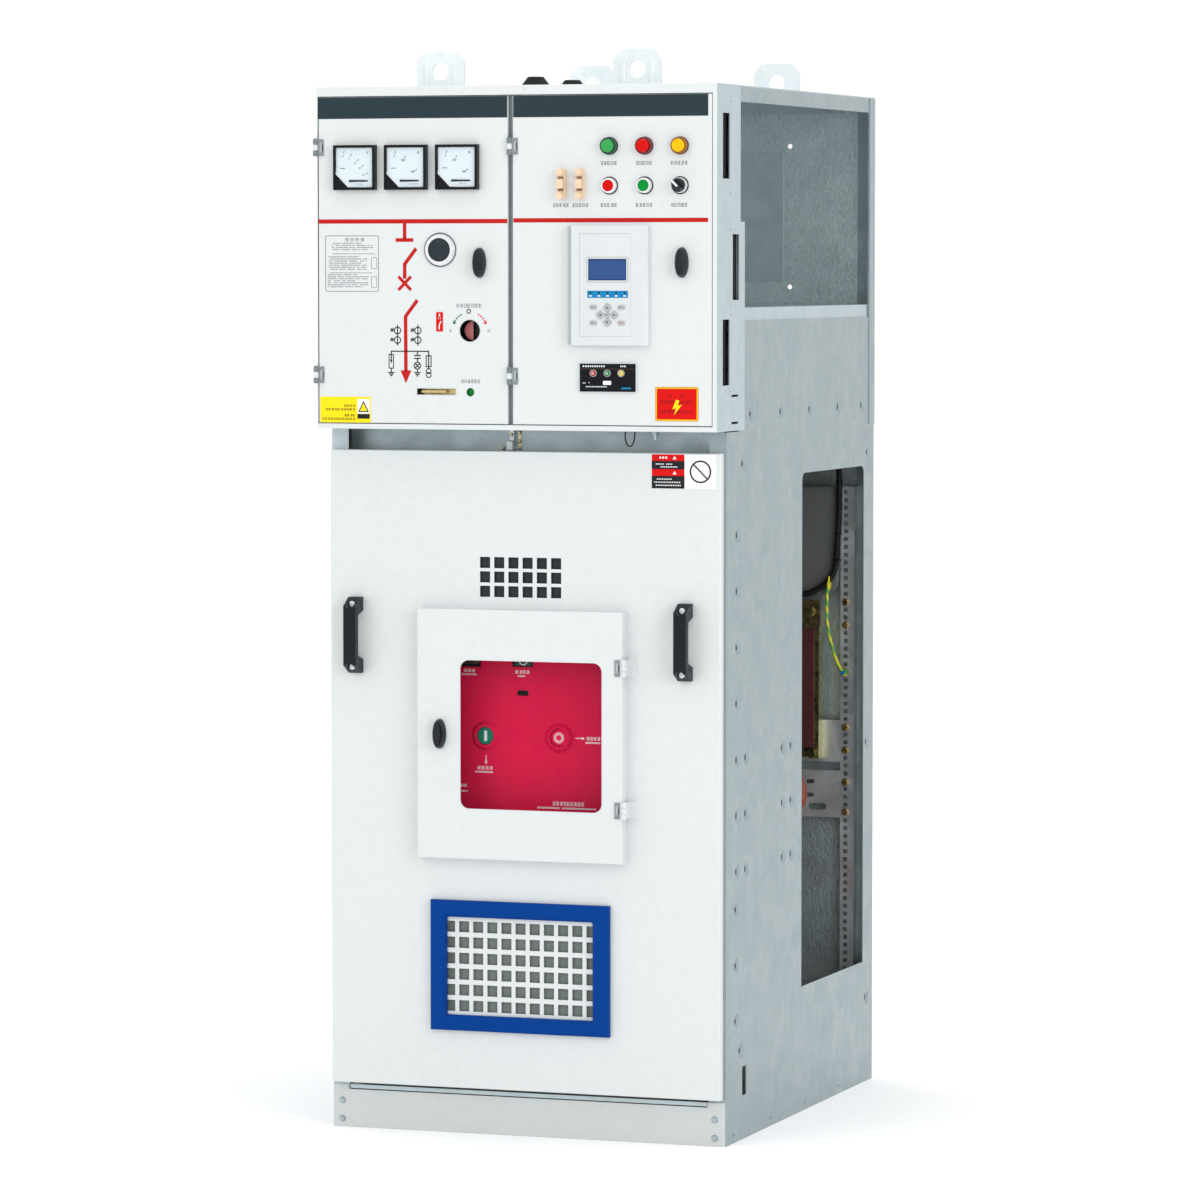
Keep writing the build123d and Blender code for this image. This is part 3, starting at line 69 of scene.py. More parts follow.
# ---- materials ----------------------------------------------------------------------------
class Finish:
    """A node-based material on a Principled shader."""

    def __init__(self, name, **constants):
        self.material = bpy.data.materials.new(name)
        self.material.use_nodes = True
        self.tree = self.material.node_tree
        self.shader = self.tree.nodes["Principled BSDF"]
        self.coords = self.node("ShaderNodeTexCoord")
        for socket, value in constants.items():
            self.shader.inputs[socket.replace("_", " ")].default_value = value

    def node(self, kind, **settings):
        made = self.tree.nodes.new(kind)
        for key, value in settings.items():
            if hasattr(made, key):
                setattr(made, key, value)
            else:
                made.inputs[key.replace("_", " ")].default_value = value
        return made

    def link(self, source, target):
        self.tree.links.new(source, target)

    def space(self, stretch=(1, 1, 1), turn=0.0):
        mapping = self.node("ShaderNodeMapping")
        mapping.inputs["Scale"].default_value = stretch
        mapping.inputs["Rotation"].default_value = (0, turn, 0)
        self.link(self.coords.outputs["Object"], mapping.inputs["Vector"])
        return mapping.outputs["Vector"]

    def noise(self, scale, detail=3.0, stretch=(1, 1, 1), distortion=0.0):
        made = self.node("ShaderNodeTexNoise", Scale=scale, Detail=detail, Distortion=distortion)
        self.link(self.space(stretch), made.inputs["Vector"])
        return made.outputs["Fac"]

    def spread(self, value, low, high, start=0.3, end=0.7):
        """Maps a 0..1 pattern to low..high."""
        made = self.node("ShaderNodeMapRange")
        for socket, number in zip(("From Min", "From Max", "To Min", "To Max"), (start, end, low, high)):
            made.inputs[socket].default_value = number
        self.link(value, made.inputs["Value"])
        return made.outputs["Result"]

    def mix(self, factor, first, second):
        made = self.node("ShaderNodeMix", data_type="RGBA")
        self.link(factor, made.inputs["Factor"])
        for socket, colour in ((made.inputs[6], first), (made.inputs[7], second)):
            if isinstance(colour, tuple):
                socket.default_value = (*colour, 1)
            else:
                self.link(colour, socket)
        return made.outputs[2]

    def bump(self, value, distance, strength=1.0, under=None):
        made = self.node("ShaderNodeBump", Strength=strength, Distance=distance)
        self.link(value, made.inputs["Height"])
        if under is not None:
            self.link(under, made.inputs["Normal"])
        return made.outputs["Normal"]

    def set(self, socket, output):
        self.link(output, self.shader.inputs[socket])

    def gloss(self, low, high, *pattern, **more):
        """Roughness that wanders between two values."""
        self.set("Roughness", self.spread(self.noise(*pattern, **more), low, high))

    def grain(self, distance, *pattern, strength=1.0, **more):
        """A fine bumpy surface, distance metres deep."""
        self.set("Normal", self.bump(self.noise(*pattern, **more), distance, strength))

    def maths(self, operation, source, *numbers):
        made = self.node("ShaderNodeMath", operation=operation)
        self.link(source, made.inputs[0])
        for socket, number in zip(made.inputs[1:], numbers):
            socket.default_value = number
        return made


def shade(colour, factor):
    return tuple(min(1.0, c * factor) for c in colour)


def moulded(name, colour, rough=0.45, vary=0.07, grain=0.00006, grain_scale=900,
             shine=None, **constants):
    """Plastic, rubber or paint: faint mottling, uneven gloss and a fine surface grain."""
    if shine is not None:
        constants["Specular_IOR_Level"] = shine
    made = Finish(name, **constants)
    cloud = made.noise(14, 4)
    made.set("Base Color", made.mix(made.spread(cloud, 0, 1), shade(colour, 1 - vary),
                                    shade(colour, 1 + vary)))
    made.gloss(rough - 0.06, rough + 0.06, 45, 5)
    made.grain(grain, grain_scale, 2)
    return made.material


def powder_coat(name, colour, rough=0.42, **constants):
    """Baked textured paint: orange-peel waves, a slight cast and faint handling marks."""
    made = Finish(name, **constants)
    cloud = made.spread(made.noise(3.5, 5), 0, 1)
    fine = made.spread(made.noise(60, 6), 0, 1, 0.35, 0.65)
    base = made.mix(cloud, shade(colour, 0.975), colour)
    made.set("Base Color", made.mix(fine, base, shade(colour, 1.012)))
    made.gloss(rough - 0.07, rough + 0.07, 9, 6, distortion=0.6)
    waves = made.bump(made.noise(420, 2), 0.00009, 0.5)
    made.set("Normal", made.bump(made.noise(1600, 1), 0.00003, 0.5, under=waves))
    return made.material


def zinc_sheet(name, colour=(0.60, 0.66, 0.69), crinkle=0.0, rough=0.40, metal=0.75):
    """Hot-dip galvanised sheet: spangle, rolling streaks and, on old stock, a crinkled skin whose folds
    carry painted shade and highlight.
    """
    made = Finish(name, Metallic=metal)
    cells = made.node("ShaderNodeTexVoronoi", Scale=85.0, Randomness=1.0)
    warp = made.node("ShaderNodeTexNoise", Scale=30.0, Detail=3.0)
    made.link(made.space(), warp.inputs["Vector"])
    bend = made.node("ShaderNodeMix", data_type="VECTOR")
    bend.inputs["Factor"].default_value = 0.06
    made.link(made.space(), bend.inputs[4])
    made.link(warp.outputs["Color"], bend.inputs[5])
    made.link(bend.outputs[1], cells.inputs["Vector"])
    grey = made.node("ShaderNodeSeparateColor")
    made.link(cells.outputs["Color"], grey.inputs["Color"])
    spangle = made.spread(grey.outputs["Red"], 0, 1, 0, 1)
    streak = made.spread(made.noise(5, 6, stretch=(3, 3, 0.35)), 0, 1)
    base = made.mix(spangle, shade(colour, 0.93), shade(colour, 1.05))
    made.set("Base Color", made.mix(streak, base, shade(colour, 0.96)))
    made.gloss(rough - 0.09, rough + 0.11, 16, 7, distortion=1.0)
    normal = made.bump(made.noise(260, 3), 0.00008, 0.5)
    if crinkle:
        folds = made.noise(125, 3, stretch=(1.5, 1, 0.9), distortion=1.0)
        height = made.spread(folds, 0, 1, 0.36, 0.64)
        normal = made.bump(height, crinkle, 1.0, under=normal)
        # Painted shade and highlight: the colour darkens in the folds' valleys and lightens on their
        # ridges.
        made.set("Base Color", made.mix(height, shade(colour, 0.92), shade(colour, 1.08)))
    made.set("Normal", normal)
    return made.material


def metal_finish(name, colour, rough=0.3, stretch=(1, 1, 1), second=None, **constants):
    """Plated, brushed or bare metal; second tints patches of it."""
    made = Finish(name, Metallic=1.0, **constants)
    patches = made.spread(made.noise(35, 5, distortion=0.8), 0, 1)
    made.set("Base Color", made.mix(patches, colour, second or shade(colour, 0.86)))
    made.gloss(rough - 0.08, rough + 0.1, 120, 4, stretch=stretch)
    made.grain(0.00004, 700, 2, strength=0.6, stretch=stretch)
    return made.material


def split_colour(name, axis, steps, rough=0.25, **constants):
    """One moulding kind in several colours: steps are (place along the axis in mm, colour)."""
    made = Finish(name, **constants)
    place = made.node("ShaderNodeSeparateXYZ")
    made.link(made.space(), place.inputs["Vector"])
    colour = steps[0][1]
    for start, following in steps[1:]:
        past = made.maths("GREATER_THAN", place.outputs[axis], start * MM)
        colour = made.mix(past.outputs[0], colour, following)
    cloud = made.spread(made.noise(60, 4), 0, 0.12)
    made.set("Base Color", made.mix(cloud, colour, (0, 0, 0)))
    made.gloss(rough - 0.05, rough + 0.06, 90, 4)
    made.grain(0.00004, 500, 2)
    return made.material


WHITE = powder_coat("paint_white", (0.635, 0.665, 0.668))
PLINTH = powder_coat("paint_plinth", (0.525, 0.55, 0.55), rough=0.5)
BLUE = powder_coat("paint_blue", (0.0003, 0.042, 0.235), rough=0.36, Specular_IOR_Level=0.05)
ZINC = zinc_sheet("zinc", colour=(0.46, 0.535, 0.56))
# A darker copy of the zinc for the right side sheet: painted shade, so the side reads darker than the
# front.
ZINC_SIDE_SHADED = zinc_sheet("zinc_side_painted_shade", colour=(0.325, 0.385, 0.405))
# A dark copy of the zinc for the frame hinges and the strip between the doors: painted shade of the gap
# between the doors.
ZINC_SHADED = zinc_sheet("zinc_painted_shade", colour=(0.20, 0.235, 0.245), rough=0.5)
ZINC_CRINKLED = zinc_sheet("zinc_crinkled", colour=(0.47, 0.555, 0.565), crinkle=0.0003, rough=0.42)
# A lighter copy of the zinc; on the rear rails, which stand in the shade of the chamber, it is painted
# light.
ZINC_BRIGHT = zinc_sheet("zinc_bright", colour=(0.74, 0.79, 0.81), rough=0.36)
STEEL = metal_finish("bright_zinc_plate", (0.72, 0.74, 0.77), 0.28)
BLUE_STEEL = metal_finish("blue_zinc_plate", (0.40, 0.47, 0.51), 0.30)
DARK_STEEL = metal_finish("turned_steel", (0.30, 0.31, 0.33), 0.32, stretch=(1, 0.05, 1))
YELLOW_ZINC = metal_finish("yellow_zinc", (0.68, 0.50, 0.20), 0.26, second=(0.56, 0.50, 0.30))
OLIVE_ZINC = metal_finish("olive_zinc", (0.50, 0.43, 0.19), 0.30, second=(0.46, 0.41, 0.21))
COPPER = metal_finish("copper", (0.78, 0.38, 0.22), 0.30, second=(0.55, 0.24, 0.14))
CHROME = metal_finish("chrome", (0.90, 0.91, 0.93), 0.10)
SATIN_RING = metal_finish("satin_ring", (0.93, 0.94, 0.95), 0.20)
BLACK = moulded("black_plastic", (0.004, 0.007, 0.010), 0.30, vary=0.2, shine=0.2)
KNOB_BLACK = moulded("knob_black", (0.005, 0.009, 0.013), 0.2, vary=0.2, shine=0.3)
BLACK_GLOSS = moulded("black_gloss", (0.003, 0.004, 0.007), 0.20, vary=0.2, grain=0.00002, shine=0.16)
RUBBER = moulded("rubber", (0.006, 0.007, 0.009), 0.62, vary=0.25, grain=0.00012, grain_scale=600,
                 shine=0.2)
GREY = moulded("grey_plastic", (0.40, 0.43, 0.45), 0.48)
PALE = moulded("pale_plastic", (0.605, 0.635, 0.642), 0.40, vary=0.02, shine=0.4)
RELAY_SHADE = moulded("relay_shade", (0.35, 0.40, 0.40), 0.45, vary=0.02, shine=0.3)
PALE_KEY = moulded("key_grey", (0.37, 0.39, 0.40), 0.45, vary=0.04, shine=0.3)
BEIGE = moulded("beige_plastic", (0.80, 0.60, 0.42), 0.38, vary=0.06, shine=0.3)
CRIMSON = moulded("crimson", (0.72, 0.003, 0.060), 0.30, vary=0.04, grain=0.00001, shine=0.08)
ROSE = moulded("rose_print", (0.80, 0.45, 0.49), 0.4, vary=0.04)
TEAL = moulded("teal_plastic", (0.002, 0.215, 0.135), 0.3, vary=0.04, shine=0.2)
CODE_RED = moulded("coded_red", (0.55, 0.145, 0.14), 0.35, vary=0.12)
DEEP_GREEN = moulded("deep_green", (0.003, 0.042, 0.022), 0.35, vary=0.05)
DARK_AMBER = moulded("dark_amber", (0.075, 0.035, 0.008), 0.4, vary=0.2)
RED = moulded("red_gloss", (0.57, 0.003, 0.002), 0.22, vary=0.04, shine=0.08)
GREEN = moulded("green_gloss", (0.002, 0.24, 0.032), 0.24, vary=0.05, shine=0.08)
RESIN = moulded("resin_brown", (0.30, 0.085, 0.050), 0.22, vary=0.12, Coat_Weight=0.4)
MAROON = moulded("resin_maroon", (0.085, 0.026, 0.026), 0.28, vary=0.12, Coat_Weight=0.2)
EPOXY = moulded("epoxy_dark", (0.020, 0.027, 0.033), 0.4, vary=0.1, shine=0.2)
PANE = moulded("frosted_pane", (0.150, 0.178, 0.165), 0.5, vary=0.05, shine=0.2)
SHROUD = moulded("shroud_grey", (0.120, 0.130, 0.128), 0.5, vary=0.04, shine=0.25)
SEAT = moulded("seat_grey", (0.215, 0.245, 0.25), 0.45, vary=0.1, shine=0.2)
RESIN_GREY = moulded("resin_grey", (0.34, 0.36, 0.37), 0.36, vary=0.06)
GLASS = moulded("clear_pane", (0.02, 0.03, 0.03), 0.05, vary=0.01, grain=0.00001, Alpha=0.05)
SMOKED = moulded("smoked_glass", (0.020, 0.031, 0.037), 0.12, vary=0.1, grain=0.00001, shine=0.15)
BAND = moulded("band_slate", (0.024, 0.040, 0.048), 0.42, vary=0.04, shine=0.06)
PRINT_SHINE = 0.18
RED_INK = moulded("red_film", (0.63, 0.006, 0.006), 0.42, vary=0.03, shine=0.08)
STRIPE_RED = moulded("stripe_red", (0.47, 0.014, 0.012), 0.42, vary=0.03, shine=0.08)
DIM_RED = moulded("dim_red_print", (0.17, 0.008, 0.014), 0.45, vary=0.05, shine=0.08)
BLACK_INK = moulded("black_print", (0.010, 0.011, 0.014), 0.5, vary=0.1, shine=PRINT_SHINE)
GREY_INK = moulded("grey_print", (0.115, 0.13, 0.14), 0.5, vary=0.1, shine=PRINT_SHINE)
GREEN_INK = moulded("green_print", (0.006, 0.13, 0.045), 0.5, vary=0.05, shine=PRINT_SHINE)
WHITE_INK = moulded("white_print", (0.80, 0.82, 0.83), 0.45, vary=0.02, shine=PRINT_SHINE)
YELLOW_INK = moulded("yellow_film", (0.88, 0.68, 0.005), 0.38, vary=0.03, shine=PRINT_SHINE)
ORANGE_INK = moulded("orange_film", (0.60, 0.13, 0.012), 0.38, vary=0.03, shine=PRINT_SHINE)
BLUE_INK = moulded("blue_film", (0.004, 0.19, 0.42), 0.35, vary=0.04, shine=PRINT_SHINE)
DIAL_WHITE = moulded("dial_white", (0.76, 0.855, 0.905), 0.45, vary=0.01, shine=PRINT_SHINE)
SCREEN = moulded("screen", (0.026, 0.070, 0.215), 0.14, vary=0.05, grain=0.00001, shine=PRINT_SHINE)
SCREEN_EDGE = moulded("screen_edge", (0.010, 0.022, 0.095), 0.3, vary=0.05, shine=PRINT_SHINE)
# Dark copies of the three lamp colours for the hoods round the lenses: painted shade of the lamps' sides.
HOODS = [moulded("hood_green", (0.004, 0.050, 0.026), 0.2, shine=0.3),
         moulded("hood_red", (0.16, 0.003, 0.005), 0.2, shine=0.3),
         moulded("hood_amber", (0.27, 0.090, 0.006), 0.2, shine=0.3)]
LAMP_COLOURS = [(0.040, 0.33, 0.080), (0.62, 0.003, 0.003), (0.84, 0.49, 0.003)]


def striped_wire(name, first, second, scale):
    """Two-colour insulation in diagonal bands."""
    made = Finish(name)
    wave = made.node("ShaderNodeTexWave", Scale=scale, Distortion=0.4)
    wave.bands_direction = "DIAGONAL"
    made.link(made.space(), wave.inputs["Vector"])
    made.set("Base Color", made.mix(made.spread(wave.outputs["Fac"], 0, 1, 0.48, 0.52), first, second))
    made.gloss(0.35, 0.45, 80, 3)
    made.grain(0.00004, 900, 2)
    return made.material


EARTH = striped_wire("earth_wire", (0.62, 0.60, 0.02), (0.10, 0.36, 0.06), 26)


def lamp_material():
    left, right = box_mm("lamp_lenses")[0].x, box_mm("lamp_lenses")[1].x
    third = (right - left) / 3
    steps = [(left + k * third, colour) for k, colour in enumerate(LAMP_COLOURS)]
    return split_colour("lamp_lens", "X", steps, 0.16, Specular_IOR_Level=0.12)


def selector_material(x, z, turn):
    """Black grip with a white pointer line filled in on its front face."""
    made = Finish("selector_black", Specular_IOR_Level=0.4)
    place = made.node("ShaderNodeSeparateXYZ")
    made.link(made.space(turn=turn), place.inputs["Vector"])
    across = x * math.cos(turn) + z * math.sin(turn)
    along = z * math.cos(turn) - x * math.sin(turn)
    limits = (("X", across, 1.7), ("Z", along + 5, 8.0), ("Y", box_mm("selector_switch")[0].y, 0.5))
    mask = None
    for axis, middle, reach in limits:
        inside = made.maths("COMPARE", place.outputs[axis], middle * MM, reach * MM)
        if mask is not None:
            both = made.maths("MULTIPLY", mask)
            made.link(inside.outputs[0], both.inputs[1])
            inside = both
        mask = inside.outputs[0]
    grain = made.mix(made.noise(40, 4), (0.004, 0.007, 0.010), (0.009, 0.013, 0.017))
    made.set("Base Color", made.mix(mask, grain, (0.80, 0.82, 0.83)))
    made.gloss(0.22, 0.32, 45, 5)
    made.grain(0.00005, 900, 2)
    return made.material


# Test links: beige, with dark brown in their two recesses, partly the slots' own colour and partly
# painted shade in the recesses.
LINK_BODY, LINK_SLOT_SHADE = (0.78, 0.58, 0.40), (0.22, 0.13, 0.08)
LINKS = split_colour("link_plastic", "Z", [(1600, LINK_BODY), (1692.5, LINK_SLOT_SHADE), (1697.0, LINK_BODY),
                                           (1714.0, LINK_SLOT_SHADE), (1718.5, LINK_BODY)], 0.38)
FINISHES = {
    WHITE: ["box_front_frame", "left_door_panel", "right_door_panel", "lower_door_panel",
            "small_door_panel",
            "small_frame_hinges"],
    PLINTH: ["plinth_front"],
    BLUE: ["grille_frame"],
    ZINC: ["roof_panel", "busbar_floor", "base_frame", "floor_plate", "instrument_box",
           "switch_mechanism",
           "breaker_case", "side_panel_left"],
    ZINC_SIDE_SHADED: ["side_panel_right"],
    ZINC_SHADED: ["frame_hinges"],
    ZINC_CRINKLED: ["rear_cover"],
    # rear_rails: lighter zinc as painted light in the shade of the chamber
    ZINC_BRIGHT: ["lifting_lugs", "rear_rails"],
    BLUE_STEEL: ["fasteners"],
    STEEL: ["handle_screws"],
    DARK_STEEL: ["switch_shaft"],
    SATIN_RING: ["panel_bezels"],
    CHROME: ["sight_glass"],
    YELLOW_ZINC: ["rail_bolts", "interlock_slide"],
    OLIVE_ZINC: ["earthing_bracket"],
    COPPER: ["copper_bars"],
    BLACK: ["door_handles"],
    selector_material(COLUMN_X[2], BUTTON_Z, math.radians(45)): ["selector_switch"],
    KNOB_BLACK: ["left_knob", "right_knob", "small_knob"],
    BLACK_GLOSS: ["panel_meters", "indicator_unit"],
    RUBBER: ["rubber_grommets", "control_cable"],
    GREY: ["terminal_strip"],
    SHROUD: ["cable_shroud"],
    PANE: ["grille_pane"],
    PALE: ["relay_case", "relay_keypad"],
    BEIGE: ["link_blocks"],
    LINKS: ["test_link_left", "test_link_right"],
    RED: ["red_button"],
    CRIMSON: ["breaker_cover", "trip_button"],
    GREEN: ["green_button", "interlock_button"],
    TEAL: ["close_button"],
    RESIN: ["insulators"],
    MAROON: ["current_transformers"],
    EPOXY: ["breaker_poles"],
    RESIN_GREY: ["load_switch"],
    GLASS: ["small_door_window"],
    EARTH: ["earth_lead"],
    lamp_material(): ["lamp_lenses"],
}
for finish, names in FINISHES.items():
    for name in names:
        slots = nodes[name].data.materials
        slots.clear()
        slots.append(finish)


# ---- mesh building ------------------------------------------------------------------------
def placed(name, data):
    """A new object in the scene."""
    made = bpy.data.objects.new(name, data)
    bpy.context.scene.collection.objects.link(made)
    return made


def circle(x, z, radius, start=0.0, end=360.0, count=40):
    """Points of an arc in the XZ plane, angles in degrees from +X towards +Z."""
    whole = end - start >= 360
    steps = count if whole else count + 1
    angles = [math.radians(start + (end - start) * k / count) for k in range(steps)]
    return [(x + radius * math.cos(a), z + radius * math.sin(a)) for a in angles]


def rounded(x, z, radius, count=6):
    """A rectangle outline with rounded corners; x and z are (low, high)."""
    corners = [(x[1] - radius, z[1] - radius, 0), (x[0] + radius, z[1] - radius, 90),
               (x[0] + radius, z[0] + radius, 180), (x[1] - radius, z[0] + radius, 270)]
    points = []
    for cx, cz, turn in corners:
        points += circle(cx, cz, radius, turn, turn + 90, count)
    return points


def grown(x, z, by, radius, count=6):
    """A rounded outline, larger by some length on every side."""
    return rounded((x[0] - by, x[1] + by), (z[0] - by, z[1] + by), radius, count)


def stroke_outline(points, width):
    """The outline of a line of some width with mitred bends."""
    left, right = [], []
    for k, (x, z) in enumerate(points):
        before = Vector(points[k]) - Vector(points[max(k - 1, 0)])
        after = Vector(points[min(k + 1, len(points) - 1)]) - Vector(points[k])
        before = (before if before.length else after).normalized()
        after = (after if after.length else before).normalized()
        along = (before + after).normalized()
        half = width / 2 / max(0.4, along.dot(after))
        normal = Vector((-along.y, along.x)) * half
        left.append((x + normal.x, z + normal.y))
        right.append((x - normal.x, z - normal.y))
    return left + right[::-1]


class Shape:
    """A mesh put together from prisms, tubes and rings, in millimetres."""

    def __init__(self):
        self.bm = bmesh.new()

    def vert(self, x, y, z):
        return self.bm.verts.new((x * MM, y * MM, z * MM))

    def prism(self, outline, back, thick, crown=0.0):
        """An outline in XZ; back is the Y of the face it stands on and thick its height to -Y."""
        rings = [[self.vert(x, back, z) for x, z in outline],
                 [self.vert(x, back - thick, z) for x, z in outline]]
        count = len(outline)
        for k in range(count):
            after = (k + 1) % count
            self.bm.faces.new((rings[0][k], rings[0][after], rings[1][after], rings[1][k]))
        if crown:
            middle = self.vert(sum(x for x, _ in outline) / count, back - thick - crown,
                               sum(z for _, z in outline) / count)
            for k in range(count):
                self.bm.faces.new((rings[1][k], rings[1][(k + 1) % count], middle))
        else:
            self.bm.faces.new(rings[1])
        self.bm.faces.new(rings[0][::-1])
        return self

    def rectangle(self, x, z, back, thick, radius=0.0):
        corners = [(x[1], z[1]), (x[0], z[1]), (x[0], z[0]), (x[1], z[0])]
        return self.prism(rounded(x, z, radius) if radius else corners, back, thick)

    def stroke(self, points, width, back, thick=INK):
        return self.prism(stroke_outline(points, width), back, thick)

    def frame(self, outer, inner, back, thick):
        """A closed band between two outlines with the same number of points."""
        count = len(outer)
        rings = [[self.vert(x, y, z) for x, z in outline]
                 for outline in (outer, inner) for y in (back, back - thick)]
        loops = ((0, 1), (1, 3), (3, 2), (2, 0))
        for first, second in loops:
            for k in range(count):
                after = (k + 1) % count
                self.bm.faces.new((rings[first][k], rings[first][after], rings[second][after],
                                   rings[second][k]))
        return self

    def ring(self, x, z, outer, inner, back, thick, count=40):
        return self.frame(circle(x, z, outer, count=count), circle(x, z, inner, count=count), back, thick)

    def skin(self, rings):
        """Joins equal rings one after another and closes both ends."""
        sides = len(rings[0])
        for first, second in zip(rings, rings[1:]):
            for s in range(sides):
                after = (s + 1) % sides
                self.bm.faces.new((first[s], first[after], second[after], second[s]))
        self.bm.faces.new(rings[0][::-1])
        self.bm.faces.new(rings[-1])
        return self

    def tube(self, points, radius, sides=10):
        """A round tube through points, with flat ends."""
        path = [Vector(p) for p in points]
        rings = []
        side = Vector((0, 0, 1))
        for k, point in enumerate(path):
            along = (path[min(k + 1, len(path) - 1)] - path[max(k - 1, 0)]).normalized()
            if abs(along.dot(side)) > 0.95:
                side = Vector((1, 0, 0))
            across = (side - along * side.dot(along)).normalized()
            side = across
            other = along.cross(across)
            ring = []
            for s in range(sides):
                angle = 2 * math.pi * s / sides
                place = point + (across * math.cos(angle) + other * math.sin(angle)) * radius
                ring.append(self.vert(*place))
            rings.append(ring)
        return self.skin(rings)

    def lathe(self, profile, centre, axis="Y", sides=28):
        """Turns (radius, distance along the axis) points about an axis through centre."""
        rings = []
        for radius, along in profile:
            ring = []
            for s in range(sides):
                angle = 2 * math.pi * s / sides
                u, v = radius * math.cos(angle), radius * math.sin(angle)
                offset = {"X": (along, u, v), "Y": (u, along, v), "Z": (u, v, along)}[axis]
                ring.append(self.vert(*(c + o for c, o in zip(centre, offset))))
            rings.append(ring)
        return self.skin(rings)

    def make(self, name, body, finish, bevel=0.0, smooth=False):
        """Turns the shape into a piece that rides on a body."""
        bmesh.ops.recalc_face_normals(self.bm, faces=self.bm.faces)
        mesh = bpy.data.meshes.new(name)
        self.bm.to_mesh(mesh)
        self.bm.free()
        mesh.materials.append(finish)
        piece = placed(name, mesh)
        if smooth:
            for polygon in mesh.polygons:
                polygon.use_smooth = True
            mesh.set_sharp_from_angle(angle=math.radians(40))
        if bevel:
            edges = piece.modifiers.new("edges", "BEVEL")
            edges.width = bevel * MM
            edges.segments = 2
            edges.limit_method = "ANGLE"
            edges.angle_limit = math.radians(40)
        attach(piece, body)
        return piece


def plate(name, body, finish, *rectangle, bevel=0.0):
    """One flat piece; rectangle is what Shape.rectangle takes."""
    Shape().rectangle(*rectangle).make(name, body, finish, bevel)


def print_lines(shape, x, z, back, row_height=1.5, seed=1, gap=0.6, fill=0.85):
    """Rows of small blocks in place of print; x and z are (low, high)."""
    chance = random.Random(seed)
    rows = max(1, int((z[1] - z[0]) / (row_height * 2)))
    for row in range(rows):
        top = z[1] - row * (z[1] - z[0]) / rows
        place = x[0]
        end = x[0] + (x[1] - x[0]) * (1 if row % 3 else chance.uniform(0.6, 1))
        while place < end - row_height:
            length = row_height * chance.uniform(0.7, 1.1)
            if chance.random() < fill:
                shape.rectangle((place, place + length), (top - row_height, top), back, INK * 0.6)
            place += length + row_height * gap
    return shape


def print_signs(shape, x, z, back, count, seed, line=0.75):
    """A row of small stroke clusters in place of a legend; x and z are (low, high)."""
    chance = random.Random(seed)
    pitch = (x[1] - x[0]) / count
    for k in range(count):
        low, high = x[0] + k * pitch + pitch * 0.08, x[0] + (k + 1) * pitch - pitch * 0.12
        for share in (0.08, 0.5, 0.92):
            row = z[0] + (z[1] - z[0]) * share
            inset = chance.uniform(0, 0.35) * (high - low)
            shape.rectangle((low + inset, high), (row - line / 2, row + line / 2), back, INK * 0.6)
        for share in sorted(chance.sample((0.1, 0.4, 0.65, 0.92), 2)):
            column = low + (high - low) * share
            shape.rectangle((column - line / 2, column + line / 2), (z[0], z[1]), back, INK * 0.5)
    return shape


# ---- instrument doors: bands and stripes --------------------------------------------------
LEFT = (-373.2, -12.8)
RIGHT = (-1.5, 361.5)
for side, x, stripe in (("left", LEFT, 1636.4), ("right", RIGHT, 1637.6)):
    plate(f"{side}_band", f"{side}_door", BAND, x, (1823, 1861), FACE, FILM, bevel=0.15)
    plate(f"{side}_stripe", f"{side}_door", STRIPE_RED, x, (stripe, stripe + 7.6), FACE, FILM * 0.6,
          bevel=0.1)


# ---- panel meters -------------------------------------------------------------------------
METER_X = (-300.5, -203.0, -105.5)
METER_Z = 1736.0
METER_FACE = box_mm("panel_meters")[0].y
DIAL_BACK = METER_FACE + 5
PIVOT = (-35.0, -33.0)        # from the meter's centre
NUMBER_R = 55.0
TICK_R = 61.0


def numeral(text, x, z, size, back, name):
    """A generic dial number, as a flat mesh."""
    curve = bpy.data.curves.new(name, "FONT")
    curve.body = text
    curve.size = size * MM
    curve.align_x = "CENTER"
    curve.align_y = "CENTER"
    curve.extrude = INK * MM / 2
    holder = placed(name + "_curve", curve)
    bpy.context.view_layer.update()
    mesh = bpy.data.meshes.new_from_object(holder.evaluated_get(bpy.context.evaluated_depsgraph_get()))
    bpy.data.objects.remove(holder)
    mesh.transform(Matrix.Rotation(math.radians(90), 4, "X"))
    mesh.transform(Matrix.Translation((x * MM, (back - INK / 2) * MM, z * MM)))
    return mesh


def join_meshes(name, meshes, body, finish):
    bm = bmesh.new()
    for mesh in meshes:
        bm.from_mesh(mesh)
        bpy.data.meshes.remove(mesh)
    whole = bpy.data.meshes.new(name)
    bm.to_mesh(whole)
    bm.free()
    whole.materials.append(finish)
    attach(placed(name, whole), body)


